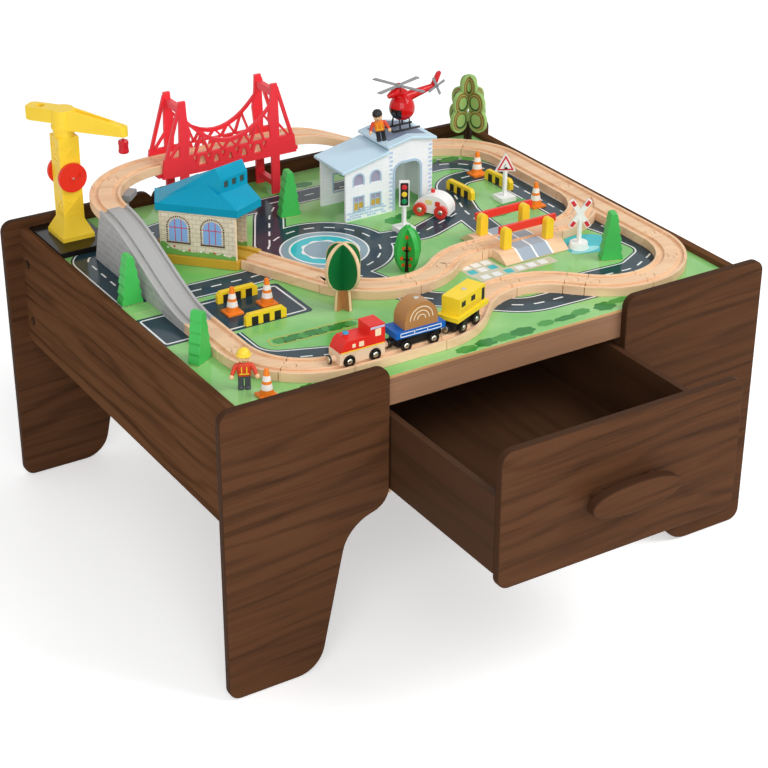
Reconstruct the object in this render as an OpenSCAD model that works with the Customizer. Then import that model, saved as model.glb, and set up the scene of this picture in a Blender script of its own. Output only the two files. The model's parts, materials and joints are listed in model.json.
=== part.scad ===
// Train table with a drawer, a wooden railway and loose toys. Sizes in mm, Z up.

/* [Table] */
// length from left to right
table_l = 700; // [680:2:760]
// depth from the front legs' face to the back legs' face
table_w = 558; // [540:2:620]
// height of the leg panels
table_h = 345; // [325:5:400]
// thickness of the leg panels
panel_t = 10; // [8:0.5:12]
// width of a leg panel
leg_w = 197; // [188:1:202]
// width of a leg's foot before its rounding
foot_w = 110; // [95:1:115]
// rounding of the panels' corners
corner_r = 14; // [6:1:18]
// distance of the side rails from the legs' outer edges
rail_inset = 22; // [18:1:30]
// thickness of the rails and partitions
rail_t = 10; // [8:0.5:12]
// height of the side rails
rail_h = 145; // [130:1:150]
// height of the side rails above the board
rail_lip = 6; // [2:0.5:10]
// depth of the board's face below the legs' top
board_drop = 17; // [14:0.5:22]
// thickness of the play board
board_t = 10; // [8:0.5:12]
// height of the front rail
front_rail_h = 25; // [20:1:30]
// side of the battens that carry the board
batten = 12; // [8:1:16]
// radius of the rail bolts' heads
bolt_r = 4; // [3:0.5:5]

/* [Drawer] */
// how far the drawer stands open
drawer_open = 194; // [150:2:220]
// length of the drawer box behind its front
drawer_depth = 420; // [380:5:440]
// height of the drawer front
drawer_front_h = 156; // [150:1:158]
// slack between the drawer and the table on each side
drawer_gap = 2.5; // [1:0.25:4]
// thickness of the drawer's sides and back
drawer_side_t = 8; // [6:0.5:10]
// thickness of the drawer's bottom
drawer_bottom_t = 4; // [3:0.5:6]
// length of the handle bar
handle_l = 112; // [90:1:120]
// height of the handle bar
handle_h = 34; // [26:1:40]
// thickness of the handle bar
handle_t = 13; // [8:0.5:14]
// length of the handle's posts
handle_reach = 12; // [10:1:20]

/* [Railway] */
// width of the track
track_w = 36; // [34:0.5:38]
// thickness of the track
track_t = 11; // [10:0.5:12]
// distance of a groove's middle from the track's middle
gauge = 11.2; // [10.8:0.1:11.5]
// width of a groove
groove_w = 6.2; // [5.8:0.1:6.4]
// depth of a groove
groove_d = 3; // [2.5:0.1:3.4]
// slack between two track pieces
track_gap = 0.6; // [0.4:0.1:1]
// radius of the track curves
curve_r = 86; // [82:1:88]
// radius of the elevated curve
high_r = 105; // [100:1:108]
// height of the elevated line above the board line
rise = 56; // [54:1:64]
// length of the bridge's deck
deck_l = 180; // [174:1:186]

/* [Wheels] */
// radius of the train wheels
wheel_r = 6.5; // [6:0.1:7]
// width of the train wheels
wheel_w = 3.4; // [3:0.1:3.5]
// radius of the axles
axle_r = 1.4; // [1.2:0.1:1.6]
// radial play of axles, pins and pivots
play = 0.05; // [0.03:0.01:0.08]

/* [Hidden] */
$fn = 48;
board_z = table_h - board_drop;
rail_x = rail_inset + rail_t;
board_l = table_l - 2 * rail_x;
board_w = table_w - 2 * panel_t;
seam_y = table_w / 2;
shoulder = table_h - 162;
rail_z = board_z + rail_lip - rail_h;
under = board_z - board_t;
front_rail_z = under - front_rail_h;
drawer_w = table_l - 2 * leg_w - 2 * drawer_gap;
drawer_x = leg_w + drawer_gap;
drawer_z = table_h - 9 - drawer_front_h;
runner_z = drawer_z + 8;
runner = 8;
box_z = runner_z + runner + 0.3;
box_h = front_rail_z - 8 - box_z;
drawer_y = -0.5 - drawer_open;
box_y = drawer_y + panel_t;
floor_z = box_z + 5;
handle_z = drawer_z + 0.474 * drawer_front_h;
front_y = drawer_y - handle_reach - handle_t;
mid = [table_l / 2, (front_y + table_w) / 2];
left_x = rail_x + 54;
right_x = table_l - rail_x - 20;
low_y = panel_t + 36;
back_y = table_w - panel_t - 27;
link = 24;
wave_l = 2 * (2 * curve_r * sin(45) + link * cos(45));
run_l = right_x - left_x - 2 * curve_r - wave_l;
ramp_y0 = low_y + curve_r + 77;
ramp_y1 = back_y - high_r;
branch_y = panel_t + 0.3810 * board_w;
switch_y = branch_y + curve_r;
switch_l = 96;
switch_turn = 60;
cross_l = 106;
bridge_x = left_x + high_r + deck_l / 2;
down_l = right_x - curve_r - bridge_x - deck_l / 2;

// Shared shapes
function unit(v) = v / norm(v);
function corner(a, p, b, r, n) = let(v = unit(a - p), w = unit(b - p), h = acos(v * w) / 2,
    c = p + unit(v + w) * r / sin(h), s = p + v * r / tan(h) - c, e = p + w * r / tan(h) - c,
    t = atan2(s[1], s[0]), d = atan2(e[1], e[0]) - t, k = d > 180 ? d - 360 : d < -180 ? d + 360 : d)
    [for (i = [0:n]) c + r * [cos(t + k * i / n), sin(t + k * i / n)]];
function xy(p) = [p[0], p[1]];
function rounded(q, n = 8) = let(m = len(q)) [for (i = [0:m - 1])
    each corner(xy(q[(i + m - 1) % m]), xy(q[i]), xy(q[(i + 1) % m]), q[i][2], n)];
function spot(u, v) = [rail_x + u * board_l, panel_t + v * board_w];
function step(p, s) = s[0] != "a" ? [p[0] + s[1] * cos(p[2]), p[1] + s[1] * sin(p[2]), p[2]]
    : let(g = sign(s[2]), h = p[2], e = p[2] + s[2]) [p[0] + g * s[1] * (sin(e) - sin(h)),
    p[1] - g * s[1] * (cos(e) - cos(h)), e];
function pose(p, line, i) = i == 0 ? p : step(pose(p, line, i - 1), line[i - 1]);
function ease(t) = t * t * (3 - 2 * t);

module upright(t) {
    translate([0, t, 0])
        rotate([90, 0, 0])
            linear_extrude(t)
                children();
}

module place(p, a = 0, z = board_z) {
    translate([p[0], p[1], z])
        rotate([0, 0, a])
            children();
}

module strip(a, b, w) {
    v = unit(b - a);
    n = [-v[1], v[0]] * w / 2;
    polygon([a + n, a - n, b - n, b + n]);
}

module flip(l) {
    translate([l, 0, 0])
        mirror([1, 0, 0])
            children();
}

module wheel_pair(w, half, r, tread) {
    rotate([90, 0, 0])
        cylinder(r = axle_r, h = 2 * half, center = true);
    for (s = [-1, 1])
        translate([0, s * (half - w / 2), 0])
            rotate([90, 0, 0])
                difference() {
                    cylinder(r = r, h = w, center = true);
                    translate([0, 0, -s * w / 2])
                        cylinder(r = tread, h = 1.2, center = true);
                }
}

// Table frame
module leg_shape() {
    reach = leg_w - foot_w;
    polygon(rounded([[0, 0, corner_r], [foot_w, 0, 34], [foot_w + 0.41 * reach, shoulder - 15, 0.55 * reach],
        [leg_w, shoulder, 0.3 * reach], [leg_w, table_h, corner_r], [0, table_h, corner_r]]));
}

module leg_front_left() {
    color("#64442e")
        upright(panel_t)
            leg_shape();
}

module leg_front_right() {
    color("#64442e")
        flip(table_l)
            upright(panel_t)
                leg_shape();
}

module leg_back_left() {
    color("#64442e")
        translate([0, table_w - panel_t, 0])
            upright(panel_t)
                leg_shape();
}

module leg_back_right() {
    color("#64442e")
        flip(table_l)
            translate([0, table_w - panel_t, 0])
                upright(panel_t)
                    leg_shape();
}

module back_panel() {
    x0 = leg_w + 1;
    x1 = table_l - leg_w - 1;
    color("#64442e")
        translate([0, table_w - panel_t, 0])
            upright(panel_t)
                polygon(rounded([[x0, rail_z, corner_r], [x1, rail_z, corner_r],
                    [x1, table_h, corner_r], [x0, table_h, corner_r]]));
}

module bolt_spots() {
    for (y = [panel_t + 16, table_w - panel_t - 16], z = [rail_z + 30, rail_z + rail_h - 40])
        translate([rail_inset, y, z])
            rotate([0, 90, 0])
                children();
}

module side_rail() {
    difference() {
        translate([rail_inset, panel_t, rail_z])
            cube([rail_t, board_w, rail_h]);
        bolt_spots()
            translate([0, 0, -1])
                cylinder(r = bolt_r + 0.2, h = 4);
    }
}

module side_rail_left() {
    color("#5a3c28")
        side_rail();
}

module side_rail_right() {
    color("#5a3c28")
        flip(table_l)
            side_rail();
}

module rail_bolts() {
    color("#3b3530") {
        bolt_spots()
            translate([0, 0, 1])
                cylinder(r = bolt_r, h = 2);
        flip(table_l)
            bolt_spots()
                translate([0, 0, 1])
                    cylinder(r = bolt_r, h = 2);
    }
}

module front_rail() {
    color("#89674d")
        translate([rail_x, panel_t, front_rail_z])
            cube([board_l, rail_t, front_rail_h]);
}

module board_front() {
    color("#4fa551")
        translate([rail_x + 0.3, panel_t, under])
            cube([board_l - 0.6, seam_y - panel_t - 0.2, board_t]);
}

module board_back() {
    color("#4fa551")
        translate([rail_x + 0.3, seam_y + 0.2, under])
            cube([board_l - 0.6, seam_y - panel_t - 0.2, board_t]);
}

module partitions() {
    color("#4a3120")
        for (x = [leg_w - rail_t, table_l - leg_w])
            difference() {
                translate([x, panel_t, runner_z])
                    cube([rail_t, board_w, under - runner_z]);
                translate([x - 1, panel_t - 1, front_rail_z])
                    cube([rail_t + 2, rail_t + 1, front_rail_h + 1]);
            }
}

module battens() {
    y0 = panel_t + rail_t;
    side = table_w - panel_t - y0;
    bay = leg_w - rail_t - rail_x - batten;
    color("#c9a06a") {
        for (x = [rail_x, table_l - rail_x - batten])
            translate([x, y0, under - batten])
                cube([batten, side, batten]);
        for (x = [rail_x + batten, table_l - leg_w + rail_t])
            translate([x, seam_y - batten, under - batten])
                cube([bay, 2 * batten, batten]);
        translate([leg_w, seam_y - batten, under - batten])
            cube([table_l - 2 * leg_w, 2 * batten, batten]);
        for (x = [leg_w, table_l - leg_w - runner])
            translate([x, panel_t, runner_z])
                cube([runner, board_w, runner]);
    }
}

// Drawer
module drawer_front() {
    x1 = drawer_x + drawer_w;
    z1 = drawer_z + drawer_front_h;
    color("#64442e")
        translate([0, drawer_y, 0])
            upright(panel_t)
                polygon(rounded([[drawer_x, drawer_z, corner_r], [x1, drawer_z, corner_r],
                    [x1, z1, corner_r], [drawer_x, z1, corner_r]]));
}

module drawer_sides() {
    color("#553824")
        for (x = [drawer_x, drawer_x + drawer_w - drawer_side_t])
            translate([x, box_y, box_z])
                cube([drawer_side_t, drawer_depth, box_h]);
}

module drawer_back() {
    color("#553824")
        translate([drawer_x + drawer_side_t, box_y + drawer_depth - drawer_side_t, box_z])
            cube([drawer_w - 2 * drawer_side_t, drawer_side_t, box_h]);
}

module drawer_bottom() {
    color("#4a3120")
        translate([drawer_x + drawer_side_t, box_y, floor_z])
            cube([drawer_w - 2 * drawer_side_t, drawer_depth - drawer_side_t, drawer_bottom_t]);
}

module drawer_handle() {
    color("#5c3d28")
        translate([table_l / 2, front_y, handle_z])
            upright(handle_t)
                polygon([for (i = [0:63]) let(c = cos(i * 5.625), s = sin(i * 5.625))
                    [sign(c) * pow(abs(c), 0.9) * handle_l / 2, sign(s) * pow(abs(s), 0.9) * handle_h / 2]]);
}

module handle_posts() {
    color("#4f3422")
        for (s = [-1, 1])
            translate([table_l / 2 + s * 0.3 * handle_l, drawer_y - handle_reach, handle_z])
                rotate([-90, 0, 0])
                    cylinder(r = 8, h = handle_reach);
}

// Railway
OUTER = [["s", 77], ["a", curve_r, 45], ["a", curve_r, 45], ["s", run_l], ["a", curve_r, 45],
    ["s", link], ["a", curve_r, -45], ["a", curve_r, -45], ["s", link], ["a", curve_r, 45],
    ["a", curve_r, 45], ["a", curve_r, 45], ["s", switch_y - switch_l - low_y - curve_r],
    ["skip", switch_l], ["s", back_y - curve_r - switch_y], ["a", curve_r, 45], ["a", curve_r, 45]];
OUTER_START = [left_x, ramp_y0, -90];
INNER = [["skip", cross_l], ["s", 9], ["a", curve_r, 40], ["a", curve_r, -40], ["a", curve_r, -66.5],
    ["s", 111]];
INNER_START = [right_x - curve_r, branch_y, 180];
MOUTH = pose(INNER_START, INNER, 6);

module plank(h = track_t) {
    translate([-track_w / 2, 0])
        square([track_w, h]);
}

module grooves() {
    for (s = [-1, 1])
        translate([s * gauge - groove_w / 2, track_t - groove_d])
            square([groove_w, groove_d + 1]);
}

module sweep(s) {
    if (s[0] == "a")
        mirror([0, s[2] < 0 ? 1 : 0, 0])
            translate([0, s[1], 0])
                rotate([0, 0, -90])
                    rotate_extrude(angle = abs(s[2]), $fn = 96)
                        translate([s[1], 0])
                            children();
    else
        rotate([90, 0, 90])
            linear_extrude(s[1])
                children();
}

module key(r, w) {
    translate([-1, -w / 2, -1])
        cube([10, w, track_t + 2]);
    translate([9, 0, -1])
        cylinder(r = r, h = track_t + 2);
}

module trim(s) {
    e = step([0, 0, 0], s);
    difference() {
        children();
        translate([-1, -30, -1])
            cube([1 + track_gap / 2, 60, 30]);
        place(e, e[2], -1)
            translate([-track_gap / 2, -30, 0])
                cube([1 + track_gap, 60, 30]);
    }
}

module rail_piece(s, slot = true, peg = true) {
    e = step([0, 0, 0], s);
    trim(s)
        difference() {
            sweep(s)
                plank();
            sweep(s)
                grooves();
            if (slot)
                key(6, 6.4);
        }
    if (peg)
        place(e, e[2], 0) {
            translate([-track_gap / 2, -2.7, 0])
                cube([9, 5.4, track_t]);
            translate([9, 0, 0])
                cylinder(r = 5.5, h = track_t);
        }
}

module line_of(start, line, kind, ends) {
    for (i = [0:len(line) - 1])
        if (line[i][0] == kind) {
            p = pose(start, line, i);
            place(p, p[2])
                rail_piece(line[i], i > ends[0], i < ends[1]);
        }
}

module track_straights() {
    color("#e1b991") {
        line_of(OUTER_START, OUTER, "s", [0, 16]);
        line_of(INNER_START, INNER, "s", [1, 5]);
        place([bridge_x - deck_l / 2, back_y], 0, board_z + rise)
            rail_piece(["s", deck_l], false, false);
    }
}

module track_curves() {
    color("#e1b991") {
        line_of(OUTER_START, OUTER, "a", [0, 16]);
        line_of(INNER_START, INNER, "a", [1, 5]);
        place([right_x - curve_r * (1 - cos(switch_turn)), switch_y - curve_r * sin(switch_turn)],
            -90 - switch_turn)
            rail_piece(["a", curve_r, switch_turn - 90], true, false);
        place([left_x, ramp_y1], 90, board_z + rise)
            rail_piece(["a", high_r, -45], false, true);
        place([left_x + high_r * (1 - cos(45)), ramp_y1 + high_r * sin(45)], 45, board_z + rise)
            rail_piece(["a", high_r, -45], true, false);
    }
}

module track_switch() {
    a = ["s", switch_l];
    b = ["a", curve_r, -switch_turn];
    e = step([0, 0, 0], b);
    color("#e1b991")
        place([right_x, switch_y], -90) {
            difference() {
                union() {
                    trim(a)
                        sweep(a)
                            plank();
                    trim(b)
                        sweep(b)
                            plank();
                }
                sweep(a)
                    grooves();
                sweep(b)
                    grooves();
                translate([switch_l, 0, 0])
                    rotate([0, 0, 180])
                        key(6, 6.4);
            }
            place(e, e[2], 0) {
                translate([-track_gap / 2, -2.7, 0])
                    cube([9, 5.4, track_t]);
                translate([9, 0, 0])
                    cylinder(r = 5.5, h = track_t);
            }
            translate([-9 + track_gap / 2, -2.7, 0])
                cube([9, 5.4, track_t]);
            translate([-9, 0, 0])
                cylinder(r = 5.5, h = track_t);
        }
}

module slope_cut(l, h0, h1, drop) {
    n = 24;
    polygon(concat([for (i = [0:n]) [l * i / n, h0 + (h1 - h0) * ease(i / n) - drop]],
        [[l, h1 + 9], [0, h1 + 9]]));
}

module track_down() {
    n = 24;
    l = down_l - track_gap;
    top = [for (i = [0:n]) [l * i / n, rise * ease(1 - i / n) + track_t]];
    low = [for (i = [0:n]) [l * (n - i) / n, rise * ease(i / n)]];
    color("#dcb287")
        translate([bridge_x + deck_l / 2 + track_gap / 2, back_y - track_w / 2, board_z])
            difference() {
                upright(track_w)
                    polygon(concat(top, low));
                for (s = [-1, 1])
                    translate([0, track_w / 2 + s * gauge - groove_w / 2, 0])
                        upright(groove_w)
                            flip_profile(l);
            }
}

module flip_profile(l) {
    translate([l, 0])
        mirror([1, 0])
            slope_cut(l, track_t, track_t + rise, groove_d);
}

module ramp() {
    n = 24;
    l = ramp_y1 - ramp_y0 - track_gap;
    tail = 20;
    top = [for (i = [0:n]) [l * (n - i) / n, track_t + rise * ease((n - i) / n)]];
    color("#b9b9b9")
        translate([left_x + track_w / 2, ramp_y0 + track_gap / 2, board_z])
            rotate([0, 0, 90])
                difference() {
                    upright(track_w)
                        polygon(concat([[0, 0], [l + tail, 0]], top));
                    for (s = [-1, 1])
                        translate([0, track_w / 2 + s * gauge - groove_w / 2, 0])
                            upright(groove_w)
                                slope_cut(l, track_t, track_t + rise, groove_d);
                    translate([l - 0.01, -1, rise - 0.01])
                        cube([tail + 2, track_w + 2, track_t + 2]);
                }
}

module curve_pier() {
    p = [left_x + high_r * (1 - cos(45)), ramp_y1 + high_r * sin(45)];
    color("#9a9ca0")
        place(p, -45) {
            translate([-14, -12, rise - 8])
                cube([42, 24, 8]);
            translate([-11, -10, 5])
                cube([29, 20, rise - 13]);
            translate([-11, -10, 0])
                cube([40, 20, 5]);
        }
}

// Suspension bridge
bridge_h = 143;
tower_x = 62.5;
girder_h = 18;

module bridge_side() {
    end = deck_l / 2 + 2;
    span = tower_x - 5.5;
    bays = 6;
    pitch = 2 * span / bays;
    top = rise + girder_h;
    sag = bridge_h - rise - 54;
    cable = [for (i = [0:2 * bays]) let(x = i * pitch / 2 - span) [x, rise + 30 + sag * pow(x / span, 2)]];
    difference() {
        polygon([[-end, rise - 6], [end, rise - 6], [end - 3, top], [-end + 3, top]]);
        for (i = [1:2 * bays - 1])
            let(far = abs(i - bays) / 2, w = 3 + 1.5 * far, h = 11.5 + 1.5 * far)
                translate([cable[i][0], rise])
                    polygon(i % 2 == 0 ? [[-w, 2.5], [w, 2.5], [0.45 * w, h], [-0.45 * w, h]]
                        : [[-3.4, 16], [3.4, 16], [0, 7]]);
    }
    polygon(concat(cable, [for (i = [2 * bays:-1:0]) cable[i] - [0, 5]]));
    for (i = [0:bays - 1], k = [0, 2])
        if (2 * i + k > 0 && 2 * i + k < 2 * bays)
            strip(cable[2 * i + k] - [0, 2], [cable[2 * i + 1][0], top - 1], 2.4);
    for (s = [-1, 1]) {
        polygon([[s * (tower_x - 5.5), 0], [s * (tower_x + 5.5), 0], [s * (tower_x + 5.5), rise + 40],
            [s * (tower_x + 4), bridge_h], [s * (tower_x - 4.5), bridge_h],
            [s * (tower_x - 5.5), bridge_h - 20], [s * (tower_x - 9), rise + 46],
            [s * (tower_x - 5.5), rise + 10]]);
        strip([s * (tower_x + 3), bridge_h - 4], [s * (end - 4), rise + 10], 4);
        strip([s * (tower_x + 4), rise + 36], [s * (end - 8), rise + 14], 2.6);
    }
}

module bridge() {
    t = 4;
    half = track_w / 2 + 0.4;
    lip = 6;
    color("#d8313c")
        translate([bridge_x, back_y, board_z]) {
            for (y = [-half - t, half])
                translate([0, y, 0])
                    upright(t)
                        bridge_side();
            translate([-deck_l / 2 - lip, -half, rise - 5])
                cube([deck_l + lip + track_gap / 2, 2 * half, 5]);
            translate([deck_l / 2, -half, rise - 5])
                cube([lip, 2 * half, 4.7]);
            for (x = [-tower_x, tower_x]) {
                translate([x - 3.5, -half, bridge_h - 16])
                    cube([7, 2 * half, 9]);
                translate([x - 4, -half, 10])
                    cube([8, 2 * half, 7]);
            }
        }
}

// Level crossing
gate_x = 19;
post_gap = 60;
post_y = 24;
post_h = 26;
block_l = 90;

module crossing_place() {
    place([right_x - curve_r - cross_l, branch_y])
        children();
}

module crossing_block() {
    s = ["s", cross_l];
    color("#e1b991")
        crossing_place()
            trim(s)
                difference() {
                    union() {
                        sweep(s)
                            plank();
                        translate([gate_x + post_gap / 2 - block_l / 2, 0, 0])
                            rotate([90, 0, 90])
                                linear_extrude(block_l)
                                    polygon([[-47, 0], [47, 0], [47, 1.5], [32, track_t], [-32, track_t],
                                        [-47, 1.5]]);
                    }
                    sweep(s)
                        grooves();
                }
}

module crossing_posts() {
    color("#f2c71f")
        crossing_place()
            for (x = [gate_x, gate_x + post_gap], y = [-post_y, post_y])
                translate([x, y, track_t])
                    difference() {
                        union() {
                            translate([-5.5, -4.5, 0])
                                cube([11, 9, post_h - 5.5]);
                            translate([0, 4.5, post_h - 5.5])
                                rotate([90, 0, 0])
                                    cylinder(r = 5.5, h = 9);
                        }
                        translate([0, 0, post_h - 5.5])
                            rotate([-90, 0, 0])
                                cylinder(r = 1.5 + play, h = 10);
                    }
}

module gate(y) {
    crossing_place()
        translate([gate_x, y + 4.9, track_t + post_h - 5.5]) {
            translate([-5, 0, -4.5])
                cube([post_gap + 20, 4, 9]);
            rotate([90, 0, 0])
                cylinder(r = 1.5, h = 4.2);
        }
}

module gate_near() {
    color("#dd2f2a")
        gate(-post_y);
}

module gate_far() {
    color("#dd2f2a")
        gate(post_y);
}

// Crane
crane = [rail_x + 36, table_w - panel_t - 46];
head_z = board_z + 139;
winch_z = board_z + 83;
mast_half = 12.6;
disc_y = mast_half + 2.9;
jib_turn = -52;
hook_reach = 76;

module crane_platform() {
    color("#1d1a18")
        translate([crane[0] - 35, crane[1] - 48, board_z])
            cube([68, 93, 7]);
}

module crane_tower() {
    foot = 22;
    mast_h = 124;
    color("#f5cf3c")
        translate([crane[0], crane[1], board_z + 7]) {
            difference() {
                union() {
                    translate([-20, -22, 0])
                        cube([40, 44, 5]);
                    hull() {
                        translate([-20, -22, 4.9])
                            cube([40, 44, 0.1]);
                        translate([-mast_half, -mast_half, foot])
                            cube([2 * mast_half, 2 * mast_half, 0.1]);
                    }
                    translate([-mast_half, -mast_half, foot])
                        cube([2 * mast_half, 2 * mast_half, mast_h - foot]);
                    translate([0, 0, mast_h - 1])
                        cylinder(r = mast_half - 0.2, h = 8.7);
                    cylinder(r = 4, h = mast_h + 16);
                }
                translate([0, 0, 76])
                    rotate([90, 0, 0])
                        cylinder(r = 2.4 + play, h = 60, center = true);
                for (a = [0:90:270])
                    rotate([0, 0, a])
                        translate([0, 0.6 - mast_half, 0])
                            relief();
            }
        }
}

module relief() {
    for (z = [27, 92])
        rotate([90, 0, 0])
            linear_extrude(1)
                for (k = [0:3])
                    translate([0, z + 14])
                        rotate(90 * k)
                            polygon([[-9, -11], [9, -11], [0, -1.6]]);
}

module crane_jib() {
    rim = 1.6;
    color("#f5cf3c")
        translate([crane[0], crane[1], head_z])
            rotate([0, 0, jib_turn])
                difference() {
                    union() {
                        cylinder(r = 13.5, h = 24);
                        hull() {
                            translate([0, -8.5, 0.4])
                                cube([10, 17, 23.6]);
                            translate([hook_reach, 0, 0.4])
                                cylinder(r = 6, h = 11.6);
                        }
                        translate([-44, -10, 8])
                            linear_extrude(16)
                                polygon([[0, 3], [6, 0], [38, 0], [38, 20], [6, 20], [0, 17]]);
                    }
                    translate([0, 0, -1])
                        cylinder(r = 4 + play, h = 10);
                    translate([-28, 0, 14])
                        cylinder(r = 5, h = 12);
                    translate([16, -2, 0])
                        upright(4)
                            polygon([[0, 21 - rim], [44, 15 - rim], [44, 30], [0, 30]]);
                    translate([hook_reach, 0, -20])
                        cylinder(r = 1.2, h = 40);
                }
}

module crane_winch() {
    color("#e0331f")
        translate([crane[0], crane[1], winch_z]) {
            rotate([90, 0, 0])
                cylinder(r = 2.4, h = 2 * disc_y + 4.2, center = true);
            for (s = [-1, 1])
                translate([0, s * disc_y, 0])
                    rotate([90, 0, 0])
                        cylinder(r = 17.5, h = 4.4, center = true);
            translate([10, -disc_y - 4.6, 4])
                rotate([90, 0, 0])
                    cylinder(r = 2, h = 5, center = true);
        }
}

module crane_hook() {
    color("#c8202c")
        translate([crane[0], crane[1], head_z])
            rotate([0, 0, jib_turn])
                translate([hook_reach, 0, -20]) {
                    cylinder(r = 6, h = 15);
                    translate([0, 0, 14.9])
                        cylinder(r = 1.1, h = 12);
                }
}

// Station
st_l = 112;
st_half = 20;
st_turn = 20.2;
st_h = 54;
st_lean = tan(st_turn);
st_r = st_l / 2 / sin(st_turn);
st_y = st_l / 2 / st_lean;

function st_plan(e, f) = let(r = st_r + st_half + e, y = st_half + e)
    concat([[st_l - st_lean * y + f, y], [st_lean * y - f, y]],
    [for (i = [-6:6]) [st_l / 2 + r * sin(i * st_turn / 6) + f * i / 6, st_y - r * cos(i * st_turn / 6)]]);

module station_place() {
    place(MOUTH, MOUTH[2] + st_turn)
        children();
}

module station_base() {
    color("#c9a033")
        station_place()
            difference() {
                linear_extrude(track_t)
                    polygon(st_plan(2, -0.4));
                translate([st_l / 2, st_y, 0])
                    for (s = [-1, 1])
                        rotate([0, 0, -125])
                            rotate_extrude(angle = 70, $fn = 96)
                                translate([st_r + s * gauge - groove_w / 2, track_t - groove_d])
                                    square([groove_w, groove_d + 1]);
            }
}

module station_walls() {
    color("#e6dcc0")
        station_place()
            translate([0, 0, track_t])
                difference() {
                    linear_extrude(st_h)
                        polygon(st_plan(0, -3));
                    translate([0, 0, -1])
                        linear_extrude(st_h + 2)
                            polygon(st_plan(-3, 20));
                }
}

module solid_of(points) {
    hull()
        for (p = points)
            translate(p)
                cube(0.1, center = true);
}

function at_height(points, z) = [for (p = points) [p[0], p[1], z]];

module station_roof() {
    z0 = track_t + st_h;
    eave = z0 + 9;
    foot = z0 + 24;
    wall_top = z0 + 40;
    ridge = z0 + 53;
    wall = [[28, 12], [9, -25]];
    crest = [[35, 11], [15, -26]];
    near = [[10, st_half + 1], [st_l - 10, st_half + 1]];
    end = [[st_l - 9, 15], [st_l + 4, -18]];
    color("#11a3c4")
        station_place()
            difference() {
                union() {
                    translate([0, 0, z0])
                        linear_extrude(eave - z0)
                            polygon(st_plan(1.5, 1));
                    solid_of(concat(at_height(st_plan(1.5, 1), eave - 0.1), at_height(wall, foot)));
                    solid_of(concat(at_height(wall, eave), at_height(wall, wall_top), at_height(crest, ridge),
                        at_height(end, eave)));
                    solid_of(concat(at_height(near, eave), at_height([[50, 12], [62, -8]], z0 + 37),
                        at_height(end, eave)));
                }
                translate([wall[0][0], wall[0][1], foot + 5])
                    rotate([0, 0, atan2(wall[1][1] - wall[0][1], wall[1][0] - wall[0][0])])
                        for (k = [0.2, 0.5, 0.8])
                            translate([k * norm(wall[1] - wall[0]) - 3.5, -3, 0])
                                cube([7, 6, 8]);
            }
}

// Hospital
hospital = spot(0.530, 0.6775);
hw = 61;
hl = 124;
wing_low = 64;
wing_high = 77;
block_eave = 84;
block_ridge = 90;
roof_t = 3.4;
wing_rise = (wing_high - wing_low) / hw;
ridge_x = (hw + hl) / 2;
block_rise = (block_ridge - block_eave) / (ridge_x - hw);

module arch(w, h) {
    square([w, h - w / 2]);
    translate([w / 2, h - w / 2])
        circle(r = w / 2);
}

module doorway(w, h, r) {
    square([w, h - r]);
    for (x = [r, w - r])
        translate([x, h - r])
            circle(r = r);
    translate([r, 0])
        square([w - 2 * r, h]);
}

module hospital_front() {
    polygon([[0, 0], [hl, 0], [hl, block_eave], [ridge_x, block_ridge], [hw, block_eave], [hw, wing_high],
        [0, wing_low]]);
}

module hospital_walls() {
    t = 3;
    d = 58;
    color("#f1f3f6")
        place(hospital) {
            upright(t)
                difference() {
                    hospital_front();
                    for (x = [12, 36]) {
                        translate([x, 12])
                            square([13, 17]);
                        translate([x, 44])
                            arch(13, 14);
                    }
                    translate([70, -1])
                        doorway(36, 61, 10);
                }
            translate([0, d, 0])
                upright(t)
                    difference() {
                        hospital_front();
                        translate([18, 16])
                            square([18, 22]);
                    }
            for (x = [hw, hl - t])
                translate([x, t, 0])
                    cube([t, d - t, block_eave - 8]);
        }
}

module sheet(x0, x1, z0, rise_by) {
    z1 = z0 + (x1 - x0) * rise_by;
    polygon([[x0, z0], [x1, z1], [x1, z1 + roof_t], [x0, z0 + roof_t]]);
}

module hospital_roofs() {
    color("#b9d9ea")
        place(hospital)
            translate([0, -4, 0])
                upright(69) {
                    sheet(-6, hw - 0.5, wing_low - 6 * wing_rise, wing_rise);
                    sheet(hw - 4, ridge_x, block_eave - 4 * block_rise, block_rise);
                    sheet(ridge_x, hl + 4, block_ridge, -block_rise);
                }
}

// Helicopter
pad_z = board_z + block_ridge + roof_t + 0.3;
heli = [hospital[0] + 94, hospital[1] + 26];
skid_y = 9;
tail = [49, 46.5];

module helicopter_body() {
    color("#c9151b")
        place(heli, 0, pad_z) {
            translate([2, 0, 11])
                rotate_extrude()
                    polygon(concat([[0, 0]],
                        [for (i = [1:11]) let(a = i * 15)
                            [15.8 * pow(sin(a), 0.8) * (1 - 0.012 * i), 17 - 17 * cos(a)]],
                        [[0, 34]]));
            translate([-3, -5, 38])
                cube([14, 10, 10]);
            translate([-3, 0, 37])
                cylinder(r = 5, h = 16);
            translate([-3, 0, 37])
                cylinder(r = 1.6, h = 22);
            translate([6, 0, 39])
                rotate([0, 81, 0])
                    cylinder(r1 = 6.4, r2 = 2.5, h = tail[0] - 3);
            translate([0, -1.5, 0])
                upright(3)
                    polygon([[tail[0] - 5, 44], [tail[0] + 2, 45], [tail[0] + 8, 61], [tail[0] + 4, 63], [tail[0] - 7, 49]]);
            translate([tail[0], 0, tail[1]])
                rotate([90, 0, 0])
                    cylinder(r = 1.2, h = 6);
            for (y = [-skid_y, skid_y]) {
                translate([-18, y, 1.4])
                    rotate([0, 90, 0])
                        cylinder(r = 1.4, h = 40);
                for (x = [-6, 8])
                    translate([x - 1.2, y - 1.2, 1.4])
                        cube([2.4, 2.4, 19]);
            }
        }
}

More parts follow.
